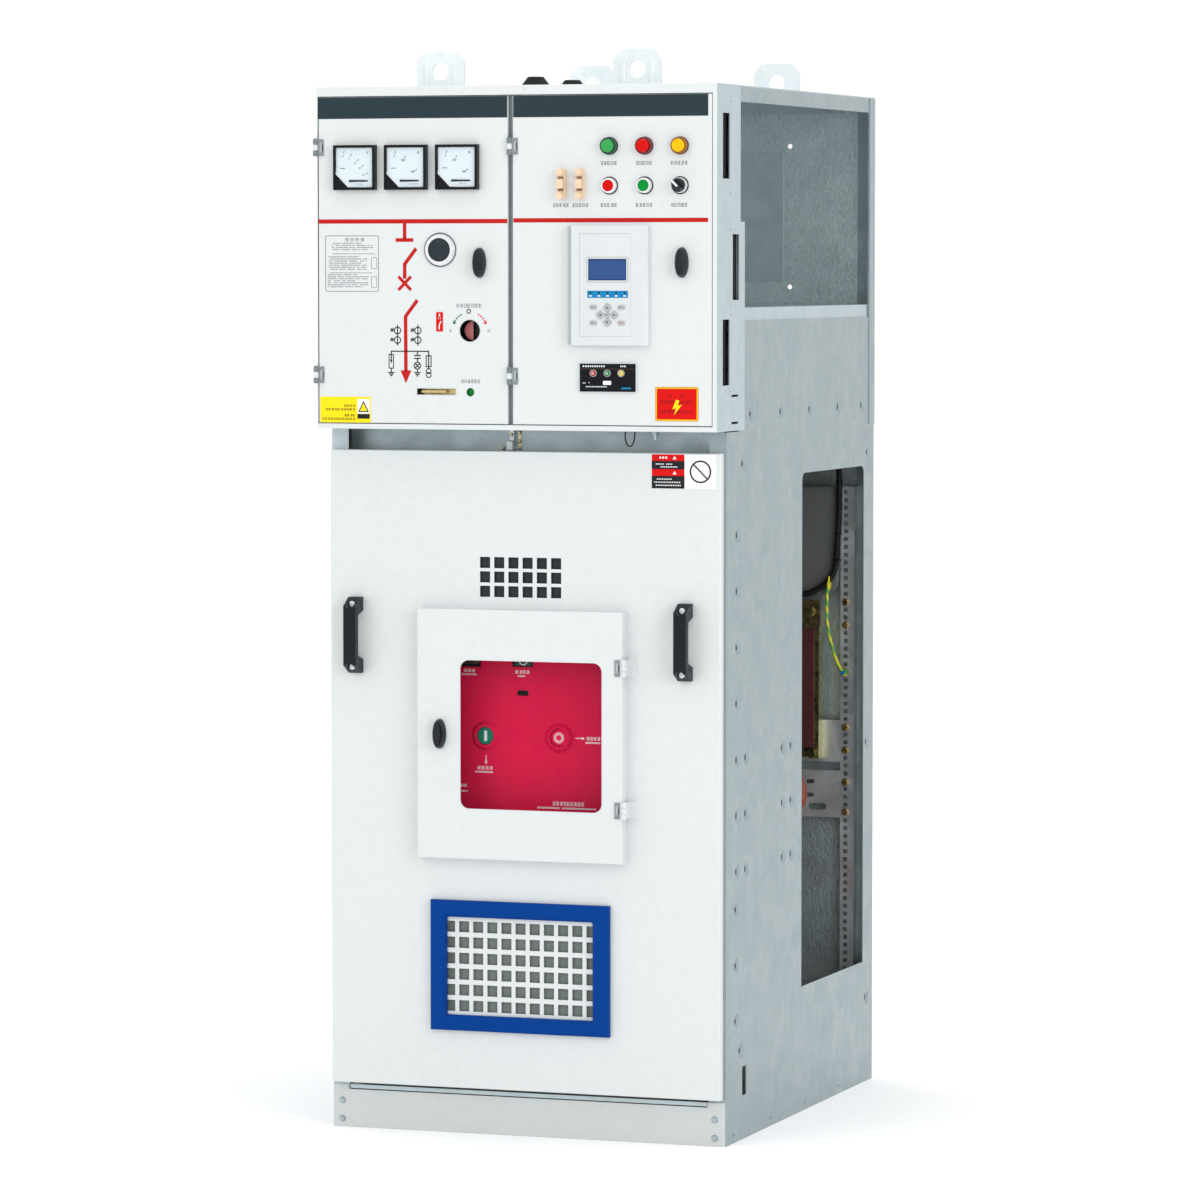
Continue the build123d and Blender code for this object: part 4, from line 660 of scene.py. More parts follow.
def panel_meter(index, x, numbers, unit, angles):
    """Dial, marks, needle and pane of one moving-coil meter; angles are where its numbers stand."""
    body = "left_door"
    half = 35.3
    dial = Shape().prism(
        [(x - 11.8, METER_Z - half), (x + half, METER_Z - half), (x + half, METER_Z + half),
         (x - half, METER_Z + half), (x - half, METER_Z - 11.8)], DIAL_BACK, 0.8)
    dial.make(f"meter_{index}_dial", body, DIAL_WHITE, 0.2)
    top = DIAL_BACK - 0.8
    corner = Shape().prism(
        [(x - half, METER_Z - 11.8), (x - 11.8, METER_Z - half), (x - 7.6, METER_Z - half),
         (x - half, METER_Z - 7.6)], top, 2.2)
    corner.make(f"meter_{index}_corner", body, WHITE_INK, 0.5)
    pivot = Vector((x + PIVOT[0], METER_Z + PIVOT[1]))
    marks = Shape()
    meshes = []
    for number, angle in zip(numbers, angles):
        way = Vector((math.cos(math.radians(angle)), math.sin(math.radians(angle))))
        marks.stroke([tuple(pivot + way * r) for r in (TICK_R - 1.5, TICK_R + 4)], 1.1, top)
        meshes.append(numeral(number, *(pivot + way * NUMBER_R), 5.4, top, "number"))
    print_lines(marks, (x + 6, x + 24), (METER_Z - 32, METER_Z - 29), top, 1.1, seed=index)
    marks.rectangle((x - 27, x - 18), (METER_Z - 2.0, METER_Z - 0.8), top, INK)
    marks.make(f"meter_{index}_scale", body, GREY_INK)
    needle = Shape().prism([(x - 10, METER_Z - 22.0), (x + 25, METER_Z - 22.5), (x + 27, METER_Z - 23.7),
                            (x + 25, METER_Z - 25.0), (x - 10, METER_Z - 25.6)], top - 1.0, 0.5)
    needle.make(f"meter_{index}_needle", body, BLACK_INK, 0.1)
    meshes.append(numeral(unit, x + 24.5, METER_Z + 26, 8.0, top, "unit"))
    join_meshes(f"meter_{index}_numbers", meshes, body, GREY_INK)
    glass = Shape().rectangle((x - 35.4, x + 35.4), (METER_Z - 35.4, METER_Z + 35.4), METER_FACE + 1.8,
                              1.0)
    glass.make(f"meter_{index}_pane", body, GLASS, 0.2)
    plate(f"meter_{index}_adjuster", body, BLACK_GLOSS, (x - 31, x - 26), (METER_Z - 32, METER_Z - 27),
          METER_FACE + 1.0, 0.4, 2.4, bevel=0.15)


panel_meter(1, METER_X[0], ["0", "3", "6", "9", "12"], "V", [76, 63, 48, 35, 21])
panel_meter(2, METER_X[1], ["0", "200", "400"], "A", [75, 56, 27])
panel_meter(3, METER_X[2], ["0", "200", "400"], "A", [75, 56, 27])


# ---- left door: printed diagram -----------------------------------------------------------
def mimic_diagram():
    body = "left_door"
    red = Shape()
    line = 6.6
    red.stroke([(-208, 1637), (-208, 1609.5)], line, FACE)
    red.stroke([(-225, 1607), (-191.5, 1607)], line, FACE)
    red.stroke([(-186, 1592), (-208, 1564), (-208, 1538)], line, FACE)
    for slope in (-1, 1):
        red.stroke([(-208 - 12, 1530 - 12 * slope), (-208 + 12, 1530 + 12 * slope)], 5.6, FACE,
                   INK * (1.1 + slope * 0.1))
    red.stroke([(-184, 1500), (-206.5, 1471), (-206, 1374)], line, FACE)
    red.prism([(-216.5, 1375), (-206, 1352), (-195.5, 1375)], FACE, INK)
    red.make("diagram_red", body, STRIPE_RED)
    black = Shape()

    def wire(*points, ink=0.8):
        black.stroke(points, 2.0, FACE, INK * ink)

    for x in (-222, -183):
        for z in (1446, 1429):
            black.ring(x, z, 6.9, 5.1, FACE, INK, 28)
        wire((x, 1456), (x, 1419))
        for z in (1446, 1429):
            wire((x - 13.5, z + 0.8), (x - 6, z + 0.8))
            for dx in (-12.8, -9.8):
                black.stroke([(x + dx, z - 2.6), (x + dx + 1.8, z + 4.2)], 1.8, FACE, INK * 1.1)
    wire((-234, 1404), (-234, 1409), (-162.5, 1409), (-162.5, 1401), ink=1)
    black.frame(rounded((-239, -229), (1378, 1404), 0.5),
                rounded((-237.4, -230.6), (1379.6, 1402.4), 0.4),
                FACE, INK)
    black.prism([(-236.4, 1394), (-231.6, 1394), (-234, 1387)], FACE, INK)
    wire((-234, 1402), (-234, 1394))
    wire((-184, 1409), (-184, 1402))
    for z in (1401.5, 1396.5):
        wire((-190.5, z), (-177.5, z), ink=1)
    wire((-184, 1396), (-184, 1390))
    black.ring(-184, 1383.5, 7.0, 5.2, FACE, INK, 28)
    for slope in (-1, 1):
        wire((-188, 1383.5 - 4 * slope), (-180, 1383.5 + 4 * slope), ink=1 + slope * 0.1)
    black.frame(rounded((-168, -157), (1381, 1402), 0.5),
                rounded((-166.3, -158.7), (1382.7, 1400.3), 0.4),
                FACE, INK)
    wire((-162.5, 1402), (-162.5, 1377))
    for z in (1374, 1367):
        black.ring(-162.5, z, 5.4, 3.7, FACE, INK, 24)
    for x, top in ((-234, 1378), (-184, 1376.5)):
        wire((x, top), (x, 1371))
        for k, half in enumerate((6, 4, 2)):
            wire((x - half, 1371 - 2.8 * k), (x + half, 1371 - 2.8 * k), ink=1)
    black.make("diagram_black", body, BLACK_INK)


def instruction_label():
    x, z = (-360.5, -257.5), (1515, 1615)
    marks = Shape()
    marks.frame(rounded(x, z, 4), grown(x, z, -0.9, 3.2), FACE, INK)
    print_signs(marks, (-325, -285), (1604.5, 1611), FACE, 4, seed=3, line=0.7)
    blocks = (((-348, -268), (1587, 1602)), ((-354, -279), (1552, 1578)), ((-356, -275), (1521, 1546)))
    for k, (bx, bz) in enumerate(blocks):
        print_lines(marks, bx, bz, FACE, 1.7, seed=11 + k)
    for rule_z, rule_x in ((1582.5, (-347, -265)), (1548.5, (-352, -270))):
        marks.stroke([(rule_x[0], rule_z), (rule_x[1], rule_z)], 0.8, FACE)
    for z0 in (1556, 1522):
        marks.frame(rounded((-272, -261), (z0, z0 + 20), 2),
                    rounded((-271.3, -261.7), (z0 + 0.7, z0 + 19.3), 1.4),
                    FACE, INK)
    marks.make("instruction_print", "left_door", GREY_INK)


def shaft_marks():
    """Turning directions round the operating hole, and the small plates beside it."""
    body = "left_door"
    cx, cz = SHAFT_X, SHAFT_Z
    radius = 33.0
    for name, finish, start, end in (("green", GREEN_INK, 118, 160), ("red", RED_INK, 62, 20)):
        dashes = Shape()
        sweep = end - start
        for k in range(4):
            first = start + sweep * k / 4.6
            last = start + sweep * (k + 0.55) / 4.6
            low, high = sorted((first, last))
            dashes.stroke(circle(cx, cz, radius, low, high, 4), 2.8, FACE)
        tip = math.radians(end)
        base = math.radians(end - sweep * 0.2)
        points = [(cx + radius * math.cos(tip), cz + radius * math.sin(tip))]
        points += [(cx + r * math.cos(base), cz + r * math.sin(base)) for r in (radius - 4.2,
                                                                                radius + 4.2)]
        dashes.prism(points, FACE, INK)
        dashes.make(f"turn_arrow_{name}", body, finish)
    Shape().ring(cx - 2, 1480.5, 4.3, 2.6, FACE, INK, 24).make("turn_arrow_ring", body, BLACK_INK)
    marks = Shape()
    print_signs(marks, (-110, -61), (1487, 1494), FACE, 7, seed=21)
    print_signs(marks, (-101, -64), (1353, 1359.5), FACE, 6, seed=22)
    for x in (-121, -48):
        marks.ring(x, 1446, 2.4, 1.7, FACE, INK, 16)
    marks.make("shaft_print", body, GREY_INK)
    Shape().ring(cx, cz, 20.6, 19.4, FACE, 0.6).make("shaft_hole_edge", body, PALE, 0.15, smooth=True)
    plate("small_red_plate", body, RED_INK, (-148, -135), (1444.5, 1479), FACE, FILM, 0.8, bevel=0.1)
    sign = Shape()
    top = FACE - FILM
    sign.stroke([(-141.5, 1476), (-141.5, 1467)], 2.0, top)
    sign.prism([(-144.5, 1467), (-138.5, 1467), (-141.5, 1471.5)], top, INK)
    sign.stroke([(-138.5, 1463), (-142, 1456), (-142, 1448)], 2.0, top)
    sign.make("small_red_plate_mark", body, WHITE_INK)


def yellow_label():
    body = "left_door"
    plate("yellow_label", body, YELLOW_INK, (-371, -273.5), (1281, 1327), FACE, FILM, 0.8, bevel=0.1)
    top = FACE - FILM
    plate("yellow_label_field", body, WHITE_INK, (-299, -275.5), (1297, 1323), top, INK)
    dark = Shape().rectangle((-299, -275.5), (1288, 1296.5), top, INK)
    dark.frame([(-297.5, 1300), (-277, 1300), (-287.2, 1320)],
               [(-294.5, 1301.8), (-280, 1301.8), (-287.2, 1316)],
               top - INK, INK)
    dark.make("yellow_label_marks", body, BLACK_INK)
    Shape().prism([(-294.3, 1302), (-280.2, 1302), (-287.2, 1315.8)], top - INK, INK * 0.6).make(
        "yellow_label_triangle", body, YELLOW_INK)
    text = Shape()
    for k, (row_z, start) in enumerate(((1313, -326), (1306.5, -361), (1296, -325), (1289.5, -368))):
        print_signs(text, (start, -303), (row_z - 4.0, row_z), top, int((-303 - start) / 5.4), 30 + k,
                    0.6)
    text.make("yellow_label_print", body, BLACK_INK)


mimic_diagram()
instruction_label()
shaft_marks()
yellow_label()

# sight glass: dark pane, inner ring and gasket
SIGHT = centre_mm("sight_glass")
Shape().lathe([(21.6, 0), (21.6, -1.0), (14, -2.1), (0.5, -2.6)], (SIGHT.x, FACE - 2.4, SIGHT.z)).make(
    "sight_dark_pane", "left_door", SMOKED, smooth=True)
Shape().ring(SIGHT.x, SIGHT.z, 30.6, 29.2, FACE, 1.0, 48).make("sight_gasket", "left_door", GREY_INK, 0.2,
                                                               smooth=True)
sight_lines = Shape().ring(SIGHT.x, SIGHT.z, 23.4, 22.0, FACE - 3.2, 0.8, 48)
sight_lines.make("sight_inner_line", "left_door", BLACK_GLOSS, 0.15, smooth=True)

# the coded end of the operating shaft
SHAFT_FACE = box_mm("switch_shaft")[0].y
for name, start, finish, behind in (("red", 90, CODE_RED, 0), ("black", 270, BLACK, 6)):
    half = circle(SHAFT_X, SHAFT_Z, 16.8, start, start + 180, 24)
    Shape().prism(half, SHAFT_FACE + behind, 0.5).make(f"shaft_code_{name}", "switch_shaft", finish, 0.15)
Shape().ring(-83, 1337, 8.6, 7.4, FACE, 0.8, 32).make("button_hole_edge", "left_door", PALE, 0.15,
                                                      smooth=True)
gate = (((-186.4, -109.6), (1330.6, 1344.4)), ((-185, -111), (1332, 1343)))
Shape().frame(rounded(*gate[0], 0.8), rounded(*gate[1], 0.4), FACE, 0.5).make("gate_edge", "left_door",
                                                                              PALE, 0.12)

# ---- right door: lamps, buttons, links ----------------------------------------------------
labels = Shape()
for k, x in enumerate(COLUMN_X):
    print_signs(labels, (x - 18, x + 14), (1738, 1744.5), FACE, 5, 40 + k)
    print_signs(labels, (x - 18, x + 14), BUTTON_LEGEND, FACE, 5, 50 + k)
for k, x in enumerate((90.0, 126.0)):
    print_signs(labels, (x - 18, x + 14), BUTTON_LEGEND, FACE, 5, 60 + k)
labels.make("legend_print", "right_door", GREY_INK)


collars = Shape()
for x in COLUMN_X:
    for z in (LAMP_Z, BUTTON_Z):
        collars.ring(x, z, 15.8, 12.6, FACE, 1.2)
for k, x in enumerate(COLUMN_X):
    # Each hood ring is in a dark copy of its lamp's colour: painted shade.
    hood = Shape().ring(x, LAMP_Z, 14.9, 11.7, FACE - 1.2, 10.2, 44)
    hood.make(f"lamp_hood_{k + 1}", "right_door", HOODS[k], 0.8, smooth=True)
collars.make("bezel_collars", "right_door", RUBBER, 0.2, smooth=True)
for name, x in (("red_button", COLUMN_X[0]), ("green_button", COLUMN_X[1])):
    face = box_mm(name)[0].y
    cap = Shape().ring(x, BUTTON_Z, 9.2, 7.6, face + 0.05, 0.35, 32)
    cap.make(f"{name}_rim", name, RED if name == "red_button" else GREEN, 0.12, smooth=True)

# ---- relay --------------------------------------------------------------------------------
FASCIA = box_mm("relay_keypad")[0].y + 1.4        # the sheet's face, behind the raised keys


def relay_details():
    body = "right_door"
    plate("relay_screen", body, SCREEN, (144.1, 214.9), (1535.6, 1573.4), FASCIA, 0.5, bevel=0.1)
    edge = Shape().frame(rounded((144.1, 214.9), (1535.6, 1573.4), 0.5),
                         rounded((145.4, 213.6), (1537.4, 1571.2), 0.4),
                         FASCIA - 0.5, 0.2)
    edge.make("relay_screen_edge", body, SCREEN_EDGE)
    rim = Shape().frame(rounded((141, 218), (1532.5, 1576.5), 2.4),
                        rounded((141.8, 217.2), (1533.3, 1575.7), 1.8),
                        FASCIA - 0.9, 0.3)
    rim.make("relay_screen_rim", body, PALE_KEY)
    case = box_mm("relay_case")
    # A darker strip along the case's left edge: painted shade of that edge.
    plate("relay_left_painted_shade", body, RELAY_SHADE, (case[0].x + 0.6, case[0].x + 5.4),
          (case[0].z + 1.5, case[1].z - 1.5), case[0].y, 0.2)
    plate("relay_strip", body, BLUE_INK, (142, 218), (1505, 1517.5), FASCIA, 0.3, 1.6, bevel=0.08)
    leds, tags = Shape(), Shape()
    for k in range(5):
        x = 148 + 16 * k
        leds.lathe([(1.7, 0), (1.6, -0.6), (0.8, -1.2), (0.1, -1.35)], (x, FASCIA - 0.3, 1513.8),
                   sides=14)
        tags.rectangle((x - 2.6, x + 2.6), (1507.4, 1509.4), FASCIA - 0.3, INK * 0.6, 0.3)
    leds.make("relay_leds", body, BLACK_GLOSS, smooth=True)
    tags.make("relay_led_tags", body, WHITE_INK)
    glyphs = Shape()
    cap_face = box_mm("relay_keypad")[0].y - 0.25
    cx, cz = 179.5, 1475.0
    for angle in (0, 90, 180, 270):
        a = math.radians(angle)
        middle = (cx + 12.8 * math.cos(a), cz + 12.8 * math.sin(a))
        points = [(middle[0] + 2.4 * math.cos(a + t), middle[1] + 2.4 * math.sin(a + t))
                  for t in (0, 2.3, -2.3)]
        glyphs.prism(points, cap_face, INK)
    print_lines(glyphs, (cx - 2.6, cx + 3), (cz - 1, cz + 1), cap_face, 1.4, seed=75)
    for dx, dz in ((-26, 13.5), (26, 13.5), (-26, -14)):
        print_lines(glyphs, (cx + dx - 3.6, cx + dx + 4), (cz + dz - 0.8, cz + dz + 0.8), cap_face, 1.2,
                    seed=76)
    glyphs.make("relay_key_marks", body, BLACK_INK)
    reset = print_lines(Shape(), (cx + 22.4, cx + 30), (cz - 14.8, cz - 13.2), cap_face, 1.2, seed=77)
    reset.make("relay_reset_mark", body, RED_INK)
    caps = Shape()
    for dx, dz in ((-26, 13.5), (26, 13.5), (-26, -14), (26, -14)):
        x, z = cx + dx, cz + dz
        caps.rectangle((x - 6.2, x + 6.2), (z - 3.8, z + 3.8), FASCIA, FASCIA - cap_face, 1.6)
    for angle in (0, 90, 180, 270):
        a = math.radians(angle)
        x, z = cx + 12.8 * math.cos(a), cz + 12.8 * math.sin(a)
        turned = [(8.0, 0.9), (0.9, 8.0), (-0.9, 8.0), (-8.0, 0.9), (-8.0, -0.9), (-0.9, -8.0),
                  (0.9, -8.0), (8.0, -0.9)]
        caps.prism([(x + dx, z + dz) for dx, dz in turned], FASCIA, FASCIA - cap_face)
    caps.prism(circle(cx, cz, 4.8, count=28), FASCIA, FASCIA - cap_face)
    caps.make("relay_key_caps", body, PALE_KEY, 0.35)


def indicator_details():
    body = "right_door"
    low, high = box_mm("indicator_unit")
    x, z = (low.x, high.x), (low.z, high.z)
    face = FACE - 6
    middle = (x[0] + x[1]) / 2
    trim = Shape().frame(grown(x, z, 1.6, 1.2), grown(x, z, 0.1, 0.6), FACE, 4.6)
    trim.make("indicator_trim", body, PALE, 0.25)
    plate("indicator_rule", body, DARK_AMBER, (x[0] + 2, x[1] - 2), (z[1] - 9.4, z[1] - 8.7), face, INK)
    text = Shape()
    print_lines(text, (x[0] + 6, middle + 14), (z[1] - 6.5, z[1] - 3), face, 2.8, seed=71, fill=0.95)
    print_lines(text, (middle + 20, x[1] - 5), (z[1] - 6.5, z[1] - 3), face, 2.6, seed=72, fill=0.95)
    print_lines(text, (x[0] + 12, middle + 15), (z[0] + 5, z[0] + 9.6), face, 1.9, seed=73, fill=0.95)
    text.rectangle((x[0] + 6, x[0] + 11), (z[0] + 14.5, z[0] + 15.7), face, INK)
    text.rectangle((x[0] + 17, x[0] + 18.5), (z[0] + 15, z[0] + 16.5), face, INK)
    text.rectangle((middle - 8, middle + 7), (z[0] + 12, z[0] + 19), face, 0.5, 1.2)
    text.make("indicator_print", body, WHITE_INK)
    plate("indicator_tag", body, BLUE_INK, (x[1] - 26, x[1] - 8), (z[0] + 4.5, z[0] + 7.5), face, INK)
    for k, finish in ((-1, RED), (0, GREEN), (1, YELLOW_INK)):
        cx, cz = middle + k * 26, z[1] - 16.5
        Shape().lathe([(4.7, 0), (4.6, -0.8), (3.2, -2.0), (1.0, -2.6), (0.1, -2.7)],
                      (cx, face - 2.4, cz), sides=24).make(
            f"indicator_lens_{k + 2}", body, finish, smooth=True)
        Shape().ring(cx, cz, 2.9, 0.8, face - 4.4, 0.8, 18).make(f"indicator_core_{k + 2}", body,
                                                                 PALE_KEY, smooth=True)
        Shape().ring(cx, cz, 6.4, 5.3, face, 2.8, 28).make(f"indicator_ring_{k + 2}", body, PALE_KEY, 0.2,
                                                           smooth=True)


def red_sign():
    body = "right_door"
    x, z = (264, 344), (1289, 1349)
    plate("sign_border", body, ORANGE_INK, x, z, FACE, FILM, 3, bevel=0.12)
    top = FACE - FILM
    inner = ((x[0] + 3.6, x[1] - 3.6), (z[0] + 3.6, z[1] - 3.6))
    plate("sign_field", body, RED_INK, *inner, top, INK, 0.8)
    Shape().frame(grown(x, z, -1.2, 2.4), grown(x, z, -2.6, 1.4), top, INK).make(
        "sign_line", body, YELLOW_INK)
    bolt = [(303, 1327), (296, 1310), (303, 1312), (299, 1300), (314, 1318), (306, 1316), (309, 1325)]
    Shape().prism(bolt, top - INK, INK * 1.6).make("sign_bolt", body, YELLOW_INK)
    faint = Shape()
    rows = (((287, 295), 1331, 1), ((309, 317), 1331, 1), ((273, 332), 1319.5, 9), ((273, 332), 1303, 9))
    for k, (row_x, row_z, count) in enumerate(rows):
        print_signs(faint, row_x, (row_z, row_z + 6), top - INK, count, 80 + k, 0.6)
    faint.make("sign_print", body, DIM_RED)


relay_details()
indicator_details()
red_sign()

# ---- lower door ---------------------------------------------------------------------------
def lower_sign():
    body = "lower_door"
    z = (1169, 1229)
    plate("notice_red", body, RED_INK, (242.5, 303), z, LOWER_FACE, FILM, 0.8, bevel=0.1)
    plate("notice_white", body, WHITE_INK, (303.4, 362.5), z, LOWER_FACE, FILM, 0.8, bevel=0.1)
    top = LOWER_FACE - FILM
    dark = Shape().rectangle((242.5, 303), (1203, 1217.5), top, INK)
    dark.rectangle((242.5, 303), (1169, 1191), top, INK)
    dark.ring(333, 1199, 20, 17.2, top, INK, 44)
    dark.stroke([(319.6, 1212.4), (346.4, 1185.6)], 2.6, top, INK * 0.8)
    dark.make("notice_dark", body, BLACK_INK)
    text = Shape()
    for k, (row_z, x) in enumerate(((1213, (250, 298)), (1208, (256, 298)), (1186.5, (252, 298)),
                                    (1181, (247, 298)),
                                    (1175.5, (250, 298)))):
        print_lines(text, x, (row_z - 2.4, row_z), top - INK, 2.1, seed=100 + k, fill=0.9)
    for cx, cz in ((285, 1223.5), (285, 1197)):
        text.prism([(cx - 3.5, cz - 3), (cx + 3.5, cz - 3), (cx, cz + 3)], top - INK, INK)
    print_lines(text, (252, 276), (1221, 1225), top - INK, 3.4, seed=120, fill=0.9)
    text.make("notice_print", body, WHITE_INK)


def small_door_details():
    body = "small_door"
    low, high = box_mm("small_door_window")
    x, z = (low.x + 12, high.x - 12), (low.z + 12, high.z - 12)
    gasket = Shape().frame(grown(x, z, 4, 19, 10), rounded(x, z, 16.5, 10),
                           SMALL_FACE + 3.2, 1.3)
    gasket.make("window_gasket", body, RUBBER, 0.3)
    lip = Shape().frame(grown(x, z, 0.2, 17, 10), grown(x, z, -1.0, 16, 10), SMALL_FACE + 2.2, 2.6)
    lip.make("window_lip", body, PALE, 0.4)


def breaker_details():
    body = "cabinet"
    close_x, trip_x, z = -88.0, 52.0, 717.5
    Shape().ring(trip_x, z, 9.8, 5.0, BREAKER_FACE - 2.05, 0.5, 36).make("trip_ring", "trip_button", ROSE,
                                                                         0.1)
    plate("close_bar", "close_button", WHITE_INK, (close_x - 2.9, close_x + 2.9), (z - 9.5, z + 9.5),
          BREAKER_FACE - 2.05, 0.5, 1.6, bevel=0.1)
    marks = Shape()
    marks.stroke([(close_x, z - 35), (close_x, z - 46)], 1.4, BREAKER_FACE)
    marks.prism([(close_x - 3, z - 46), (close_x + 3, z - 46), (close_x, z - 52)], BREAKER_FACE, INK)
    marks.stroke([(trip_x + 31, z), (trip_x + 43, z)], 1.4, BREAKER_FACE)
    marks.prism([(trip_x + 43, z - 3), (trip_x + 43, z + 3), (trip_x + 49, z)], BREAKER_FACE, INK)
    signs = (((close_x - 17, close_x + 13), (z - 61, z - 55), 4),
             ((trip_x + 52, trip_x + 84), (z - 3, z + 3), 5),
             ((-132, -108), (832, 837), 3), ((-32, -4), (831, 837), 4), ((38, 100), (595.5, 602.5), 9),
             ((-140, -124), (624, 629), 2))
    for k, (x, rows, count) in enumerate(signs):
        print_signs(marks, x, rows, BREAKER_FACE, count, 131 + k, 1.0)
    words = (((close_x - 21, close_x + 21), (z - 69, z - 64)),
             ((trip_x + 50, trip_x + 84), (z - 11, z - 6)),
             ((-134, -104), (824, 829)), ((-27, -8), (823, 828)), ((10, 128), (585.5, 592.5)),
             ((-140, -112), (613, 618)))
    for k, (x, rows) in enumerate(words):
        print_lines(marks, x, rows, BREAKER_FACE, 3.0, seed=141 + k, gap=0.3, fill=0.98)
    marks.make("breaker_print", body, WHITE_INK)
    plate("counter_window", body, BLACK_GLOSS, (-27.5, -7.5), (791.5, 800.5), BREAKER_FACE + 2.6, 1.0,
          bevel=0.2)
    plate("state_plate", body, BLACK_GLOSS, (-37.5, 1.5), (843.5, 865.5), BREAKER_FACE + 2.6, 1.0,
          bevel=0.2)
    plate("state_field", body, DEEP_GREEN, (-32, -2), (845, 864), BREAKER_FACE + 1.6, 0.3)
    Shape().ring(-17, 854, 8.2, 6.4, BREAKER_FACE + 1.3, 0.5, 32).make("state_mark", body, WHITE_INK)
    # The spring plate is black and its mark dark amber: painted shade under the top of the window darkens
    # this yellow indicator.
    plate("spring_plate", body, BLACK_GLOSS, (-139.5, -98.5), (841.5, 865.5), BREAKER_FACE + 2.6, 1.0,
          bevel=0.2)
    plate("spring_mark", body, DARK_AMBER, (-136, -102), (846, 861), BREAKER_FACE + 1.4, 0.6, 1.5,
          bevel=0.15)


lower_sign()
small_door_details()
breaker_details()

# ---- cabinet details ----------------------------------------------------------------------
def box_details():
    """Knock-out scores, the small joint plate and a wire loop of the instrument box."""
    body = "cabinet"
    edge = box_mm("instrument_box")[1].x
    panes = Shape()
    for side in (-1, 1):
        x = side * (edge - 0.55)
        for z in (1286.5, 1329.5):
            panes.tube([(x, -429, z), (x, -393, z)], 0.5, 6)
        for y in (-429, -393):
            panes.tube([(x, y, 1286.5), (x, y, 1329.5)], 0.5, 6)
    panes.make("knockout_score", body, DARK_STEEL)
    plate("top_joint_plate", body, WHITE, (-23, 19), (1864, 1877.5), FACE, 1.0, 1.0, bevel=0.3)
    loop = Shape()
    points = []
    for k in range(25):
        angle = math.radians(180 + 180 * k / 24)
        points.append((196 + 9 * math.cos(angle), -455, 1262 + 20 * math.sin(angle)))
    points = [(187, -452, 1268)] + points + [(205, -452, 1268)]
    loop.tube(points, 1.3, 8)
    loop.make("wire_loop", body, BLACK, smooth=True)


WIRE_SLOTS = (((-480, -442), (1714, 1829)), ((-424, -388), (1501, 1617)), ((-480, -442), (1351, 1467)))


def shadow_parts():
    """Painted shade: dark sheets behind the wire slots and the vent and a dark strip between the doors;
    also the flap sheet.
    """
    slot_shades = Shape()
    # Dark rubber sheets behind the wire slots: painted shade of the slots' insides.
    for side in (-1, 1):
        x = sorted((side * 368.5, side * 370.5))
        for y, z in WIRE_SLOTS:
            slot_shades.rectangle(x, (z[0] - 5, z[1] + 5), y[1] + 4, y[1] - y[0] + 8)
    slot_shades.make("wire_slot_painted_shade", "cabinet", RUBBER, 0.3)
    # A dark zinc strip between the doors: painted shade of the gap.
    plate("upright_strip", "cabinet", ZINC_SHADED, (-11.7, -4.3), (1271, 1878), FACE + 9, 0.4, bevel=0.1)
    plate("flap_sheet", "cabinet", ZINC, (-194, 194), (1532, 1778), 446, 0.5, 2.0, bevel=0.2)
    # A dark sheet behind the vent: painted shade of the space behind it.
    plate("vent_painted_shade", "lower_door", EPOXY, (-92, 82), (962, 1050), LOWER_FACE + 6.5, 0.6, 2.0,
          bevel=0.2)


LEAF = 1.5                    # how proud a hinge leaf stands on its door


def hinge_plate(name, body, x, z, face):
    """The visible seat of a concealed hinge: a grey plate, a pale block and a dark slot."""
    face -= LEAF
    plate(f"{name}_plate", body, SEAT, (x, x + 10.6), (z - 14.8, z + 14.8), face, 0.4, 0.6, bevel=0.15)
    block = Shape().rectangle((x + 2.6, x + 7.2), (z - 6.5, z + 9), face - 0.4, 0.5, 0.8)
    block.rectangle((x + 1.2, x + 5.8), (z - 8.5, z - 6.5), face - 0.4, 0.5, 0.6)
    block.make(f"{name}_block", body, PALE_KEY, 0.15)
    plate(f"{name}_slot", body, BLACK, (x + 7.5, x + 9.0), (z - 6, z + 6.5), face - 0.4, 0.2, bevel=0.05)


def dimple_shadows():
    """Dark joint screws in the sunk holes of both side sheets; their dark colour is also painted shade in
    the dimples.
    """
    places = [(-385, 484 + 100 * k) for k in range(7)]
    places += [(y, 484 + 100 * k) for k in range(3) for y in (-333, -117, -65)]
    places += [(-389, 216 + 100 * k) for k in range(3)] + [(-364, 161), (-354, 1210)]
    places += [(-308 + 177 * k, 1297) for k in range(4)] + [(375, 1297)]
    places += [(412, z) for z in (161, 652, 1207)]
    heads = Shape()
    for side in (-1, 1):
        for y, z in places:
            heads.lathe([(5.4, 370.3 * side), (5.4, 371.3 * side), (4.2, 371.9 * side)], (0, y, z), "X",
                        14)
    heads.make("dimple_screws_and_shade", "cabinet", EPOXY, smooth=True)


def gap_fittings():
    """The zinc block and brass screws that show above the lower door."""
    block = Shape().rectangle((-50, -39), (1232, 1247), -404, 16, 0.8)
    block.rectangle((-47, -39), (1249, 1268), -404, 8, 0.8)
    block.make("gap_block", "cabinet", ZINC_BRIGHT, 0.4)
    brass = Shape()
    for x, z in ((-31, 1263), (-31, 1247), (-30, 1235), (-62, 1234), (-43, 1259)):
        brass.lathe([(3.4, 0), (3.6, -2.4), (2.2, -4.4), (0.6, -4.8)], (x, -410 if x == -43 else -402, z),
                    "Y", 14)
    brass.rectangle((-33.2, -28.8), (1236, 1268), -402, 1.6, 0.6)
    brass.make("gap_brass", "cabinet", YELLOW_ZINC, smooth=True)


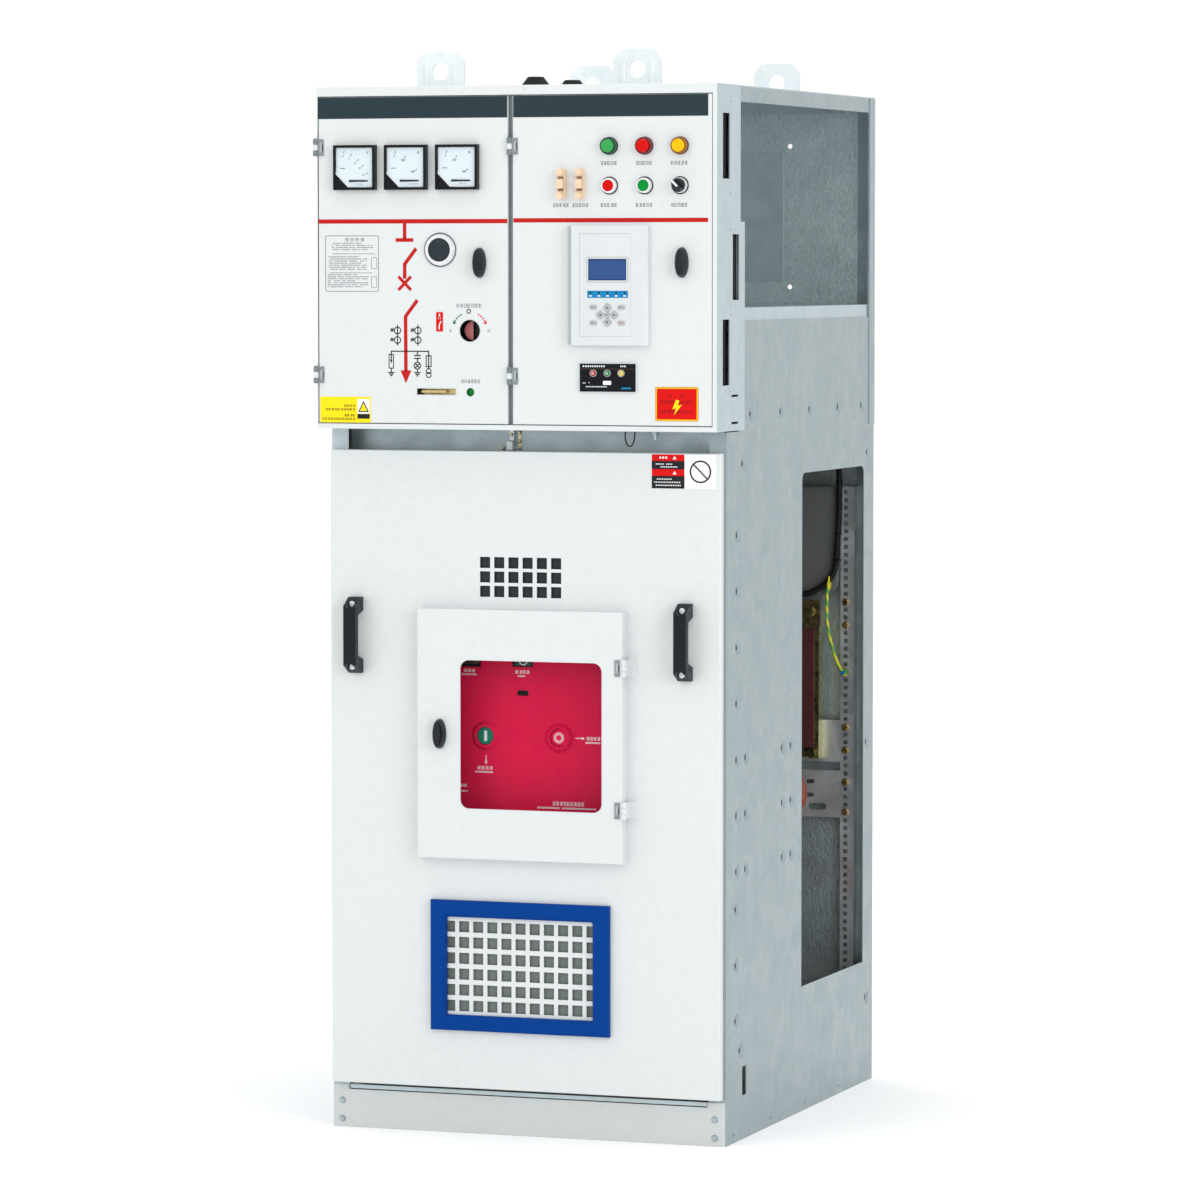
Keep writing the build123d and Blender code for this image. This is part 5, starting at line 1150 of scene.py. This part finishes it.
def rear_corner_details():
    body = "cabinet"
    plate("bracket_band", body, MAROON, (222, 274), (640, 868), 395.8, 1.2, 1.0, bevel=0.3)
    ties = Shape()
    for z, y in ((1150, 399.5), (1050, 400), (1000, 399.5)):
        x = 322 if z > 1100 else 320
        ties.lathe([(6.4, -1.6), (6.9, -1.2), (6.9, 1.2), (6.4, 1.6)], (x, y, z), "Z", 20)
    ties.make("cable_ties", body, BLACK_GLOSS)
    knot = Shape()
    for k in range(4):
        knot.lathe([(7.4, -1.5), (8.3, -0.8), (8.3, 0.8), (7.4, 1.5)],
                   (304 - 0.5 * k, 398.5, 962 - 4 * k), "X", 18)
    knot.make("screen_tie", body, YELLOW_INK)
    Shape().lathe([(3.4, 0), (4.0, -1.0), (4.0, -9.0), (3.4, -10.0)], (328.7, 410.0, 784), "Y", 18).make(
        "lead_ferrule", body, BLUE_INK, smooth=True)


box_details()
shadow_parts()
for z in (1366, 1772):
    hinge_plate(f"right_hinge_{z}", "right_door", -2.8, z, FACE)
    hinge_plate(f"left_hinge_{z}", "left_door", -372.8, z, FACE)
for z in (597, 850):
    hinge_plate(f"small_hinge_{z}", "small_door", 181.5, z, SMALL_FACE)
dimple_shadows()
gap_fittings()
rear_corner_details()

# ---- camera, floor and light --------------------------------------------------------------
camera_data = bpy.data.cameras.new("camera")
camera_data.sensor_width = 36.0
camera_data.lens = 168.8
camera_data.clip_end = 100.0
camera = placed("camera", camera_data)
camera.location = (3.466, -9.868, 1.569)
camera.rotation_euler = (math.radians(90 - 3.444), 0, math.radians(19.461))
bpy.context.scene.camera = camera

floor_mesh = bpy.data.meshes.new("floor")
reach = 30.0
floor_mesh.from_pydata([(-reach, -reach, 0), (reach, -reach, 0), (reach, reach, 0), (-reach, reach, 0)],
                       [],
                       [(0, 1, 2, 3)])
floor_mesh.materials.append(moulded("floor_pale", (0.975, 0.98, 0.985), 0.8, vary=0.003, grain=0.00002))
placed("floor", floor_mesh)

world = bpy.data.worlds.new("studio")
world.use_nodes = True
world.node_tree.nodes["Background"].inputs["Color"].default_value = (1, 1, 1, 1)
world.node_tree.nodes["Background"].inputs["Strength"].default_value = 1.06
bpy.context.scene.world = world
bpy.context.scene.view_settings.view_transform = "Standard"


def soft_light(name, place, target, size, power, colour=(1, 1, 1)):
    data = bpy.data.lights.new(name, "AREA")
    data.shape = "RECTANGLE"
    data.size, data.size_y = size
    data.energy = power
    data.color = colour
    lamp = placed(name, data)
    lamp.location = place
    lamp.rotation_euler = (Vector(target) - Vector(place)).to_track_quat("-Z", "Y").to_euler()


soft_light("key", (-2.2, -4.6, 3.6), (0, 0, 1.0), (2.6, 2.6), 22)
soft_light("side", (5.6, -4.2, 2.6), (0, 0, 1.1), (3.0, 2.4), 95)
soft_light("top", (0.5, 0, 5.0), (0.5, 0, 0), (5.0, 5.0), 60)

bpy.context.view_layer.update()
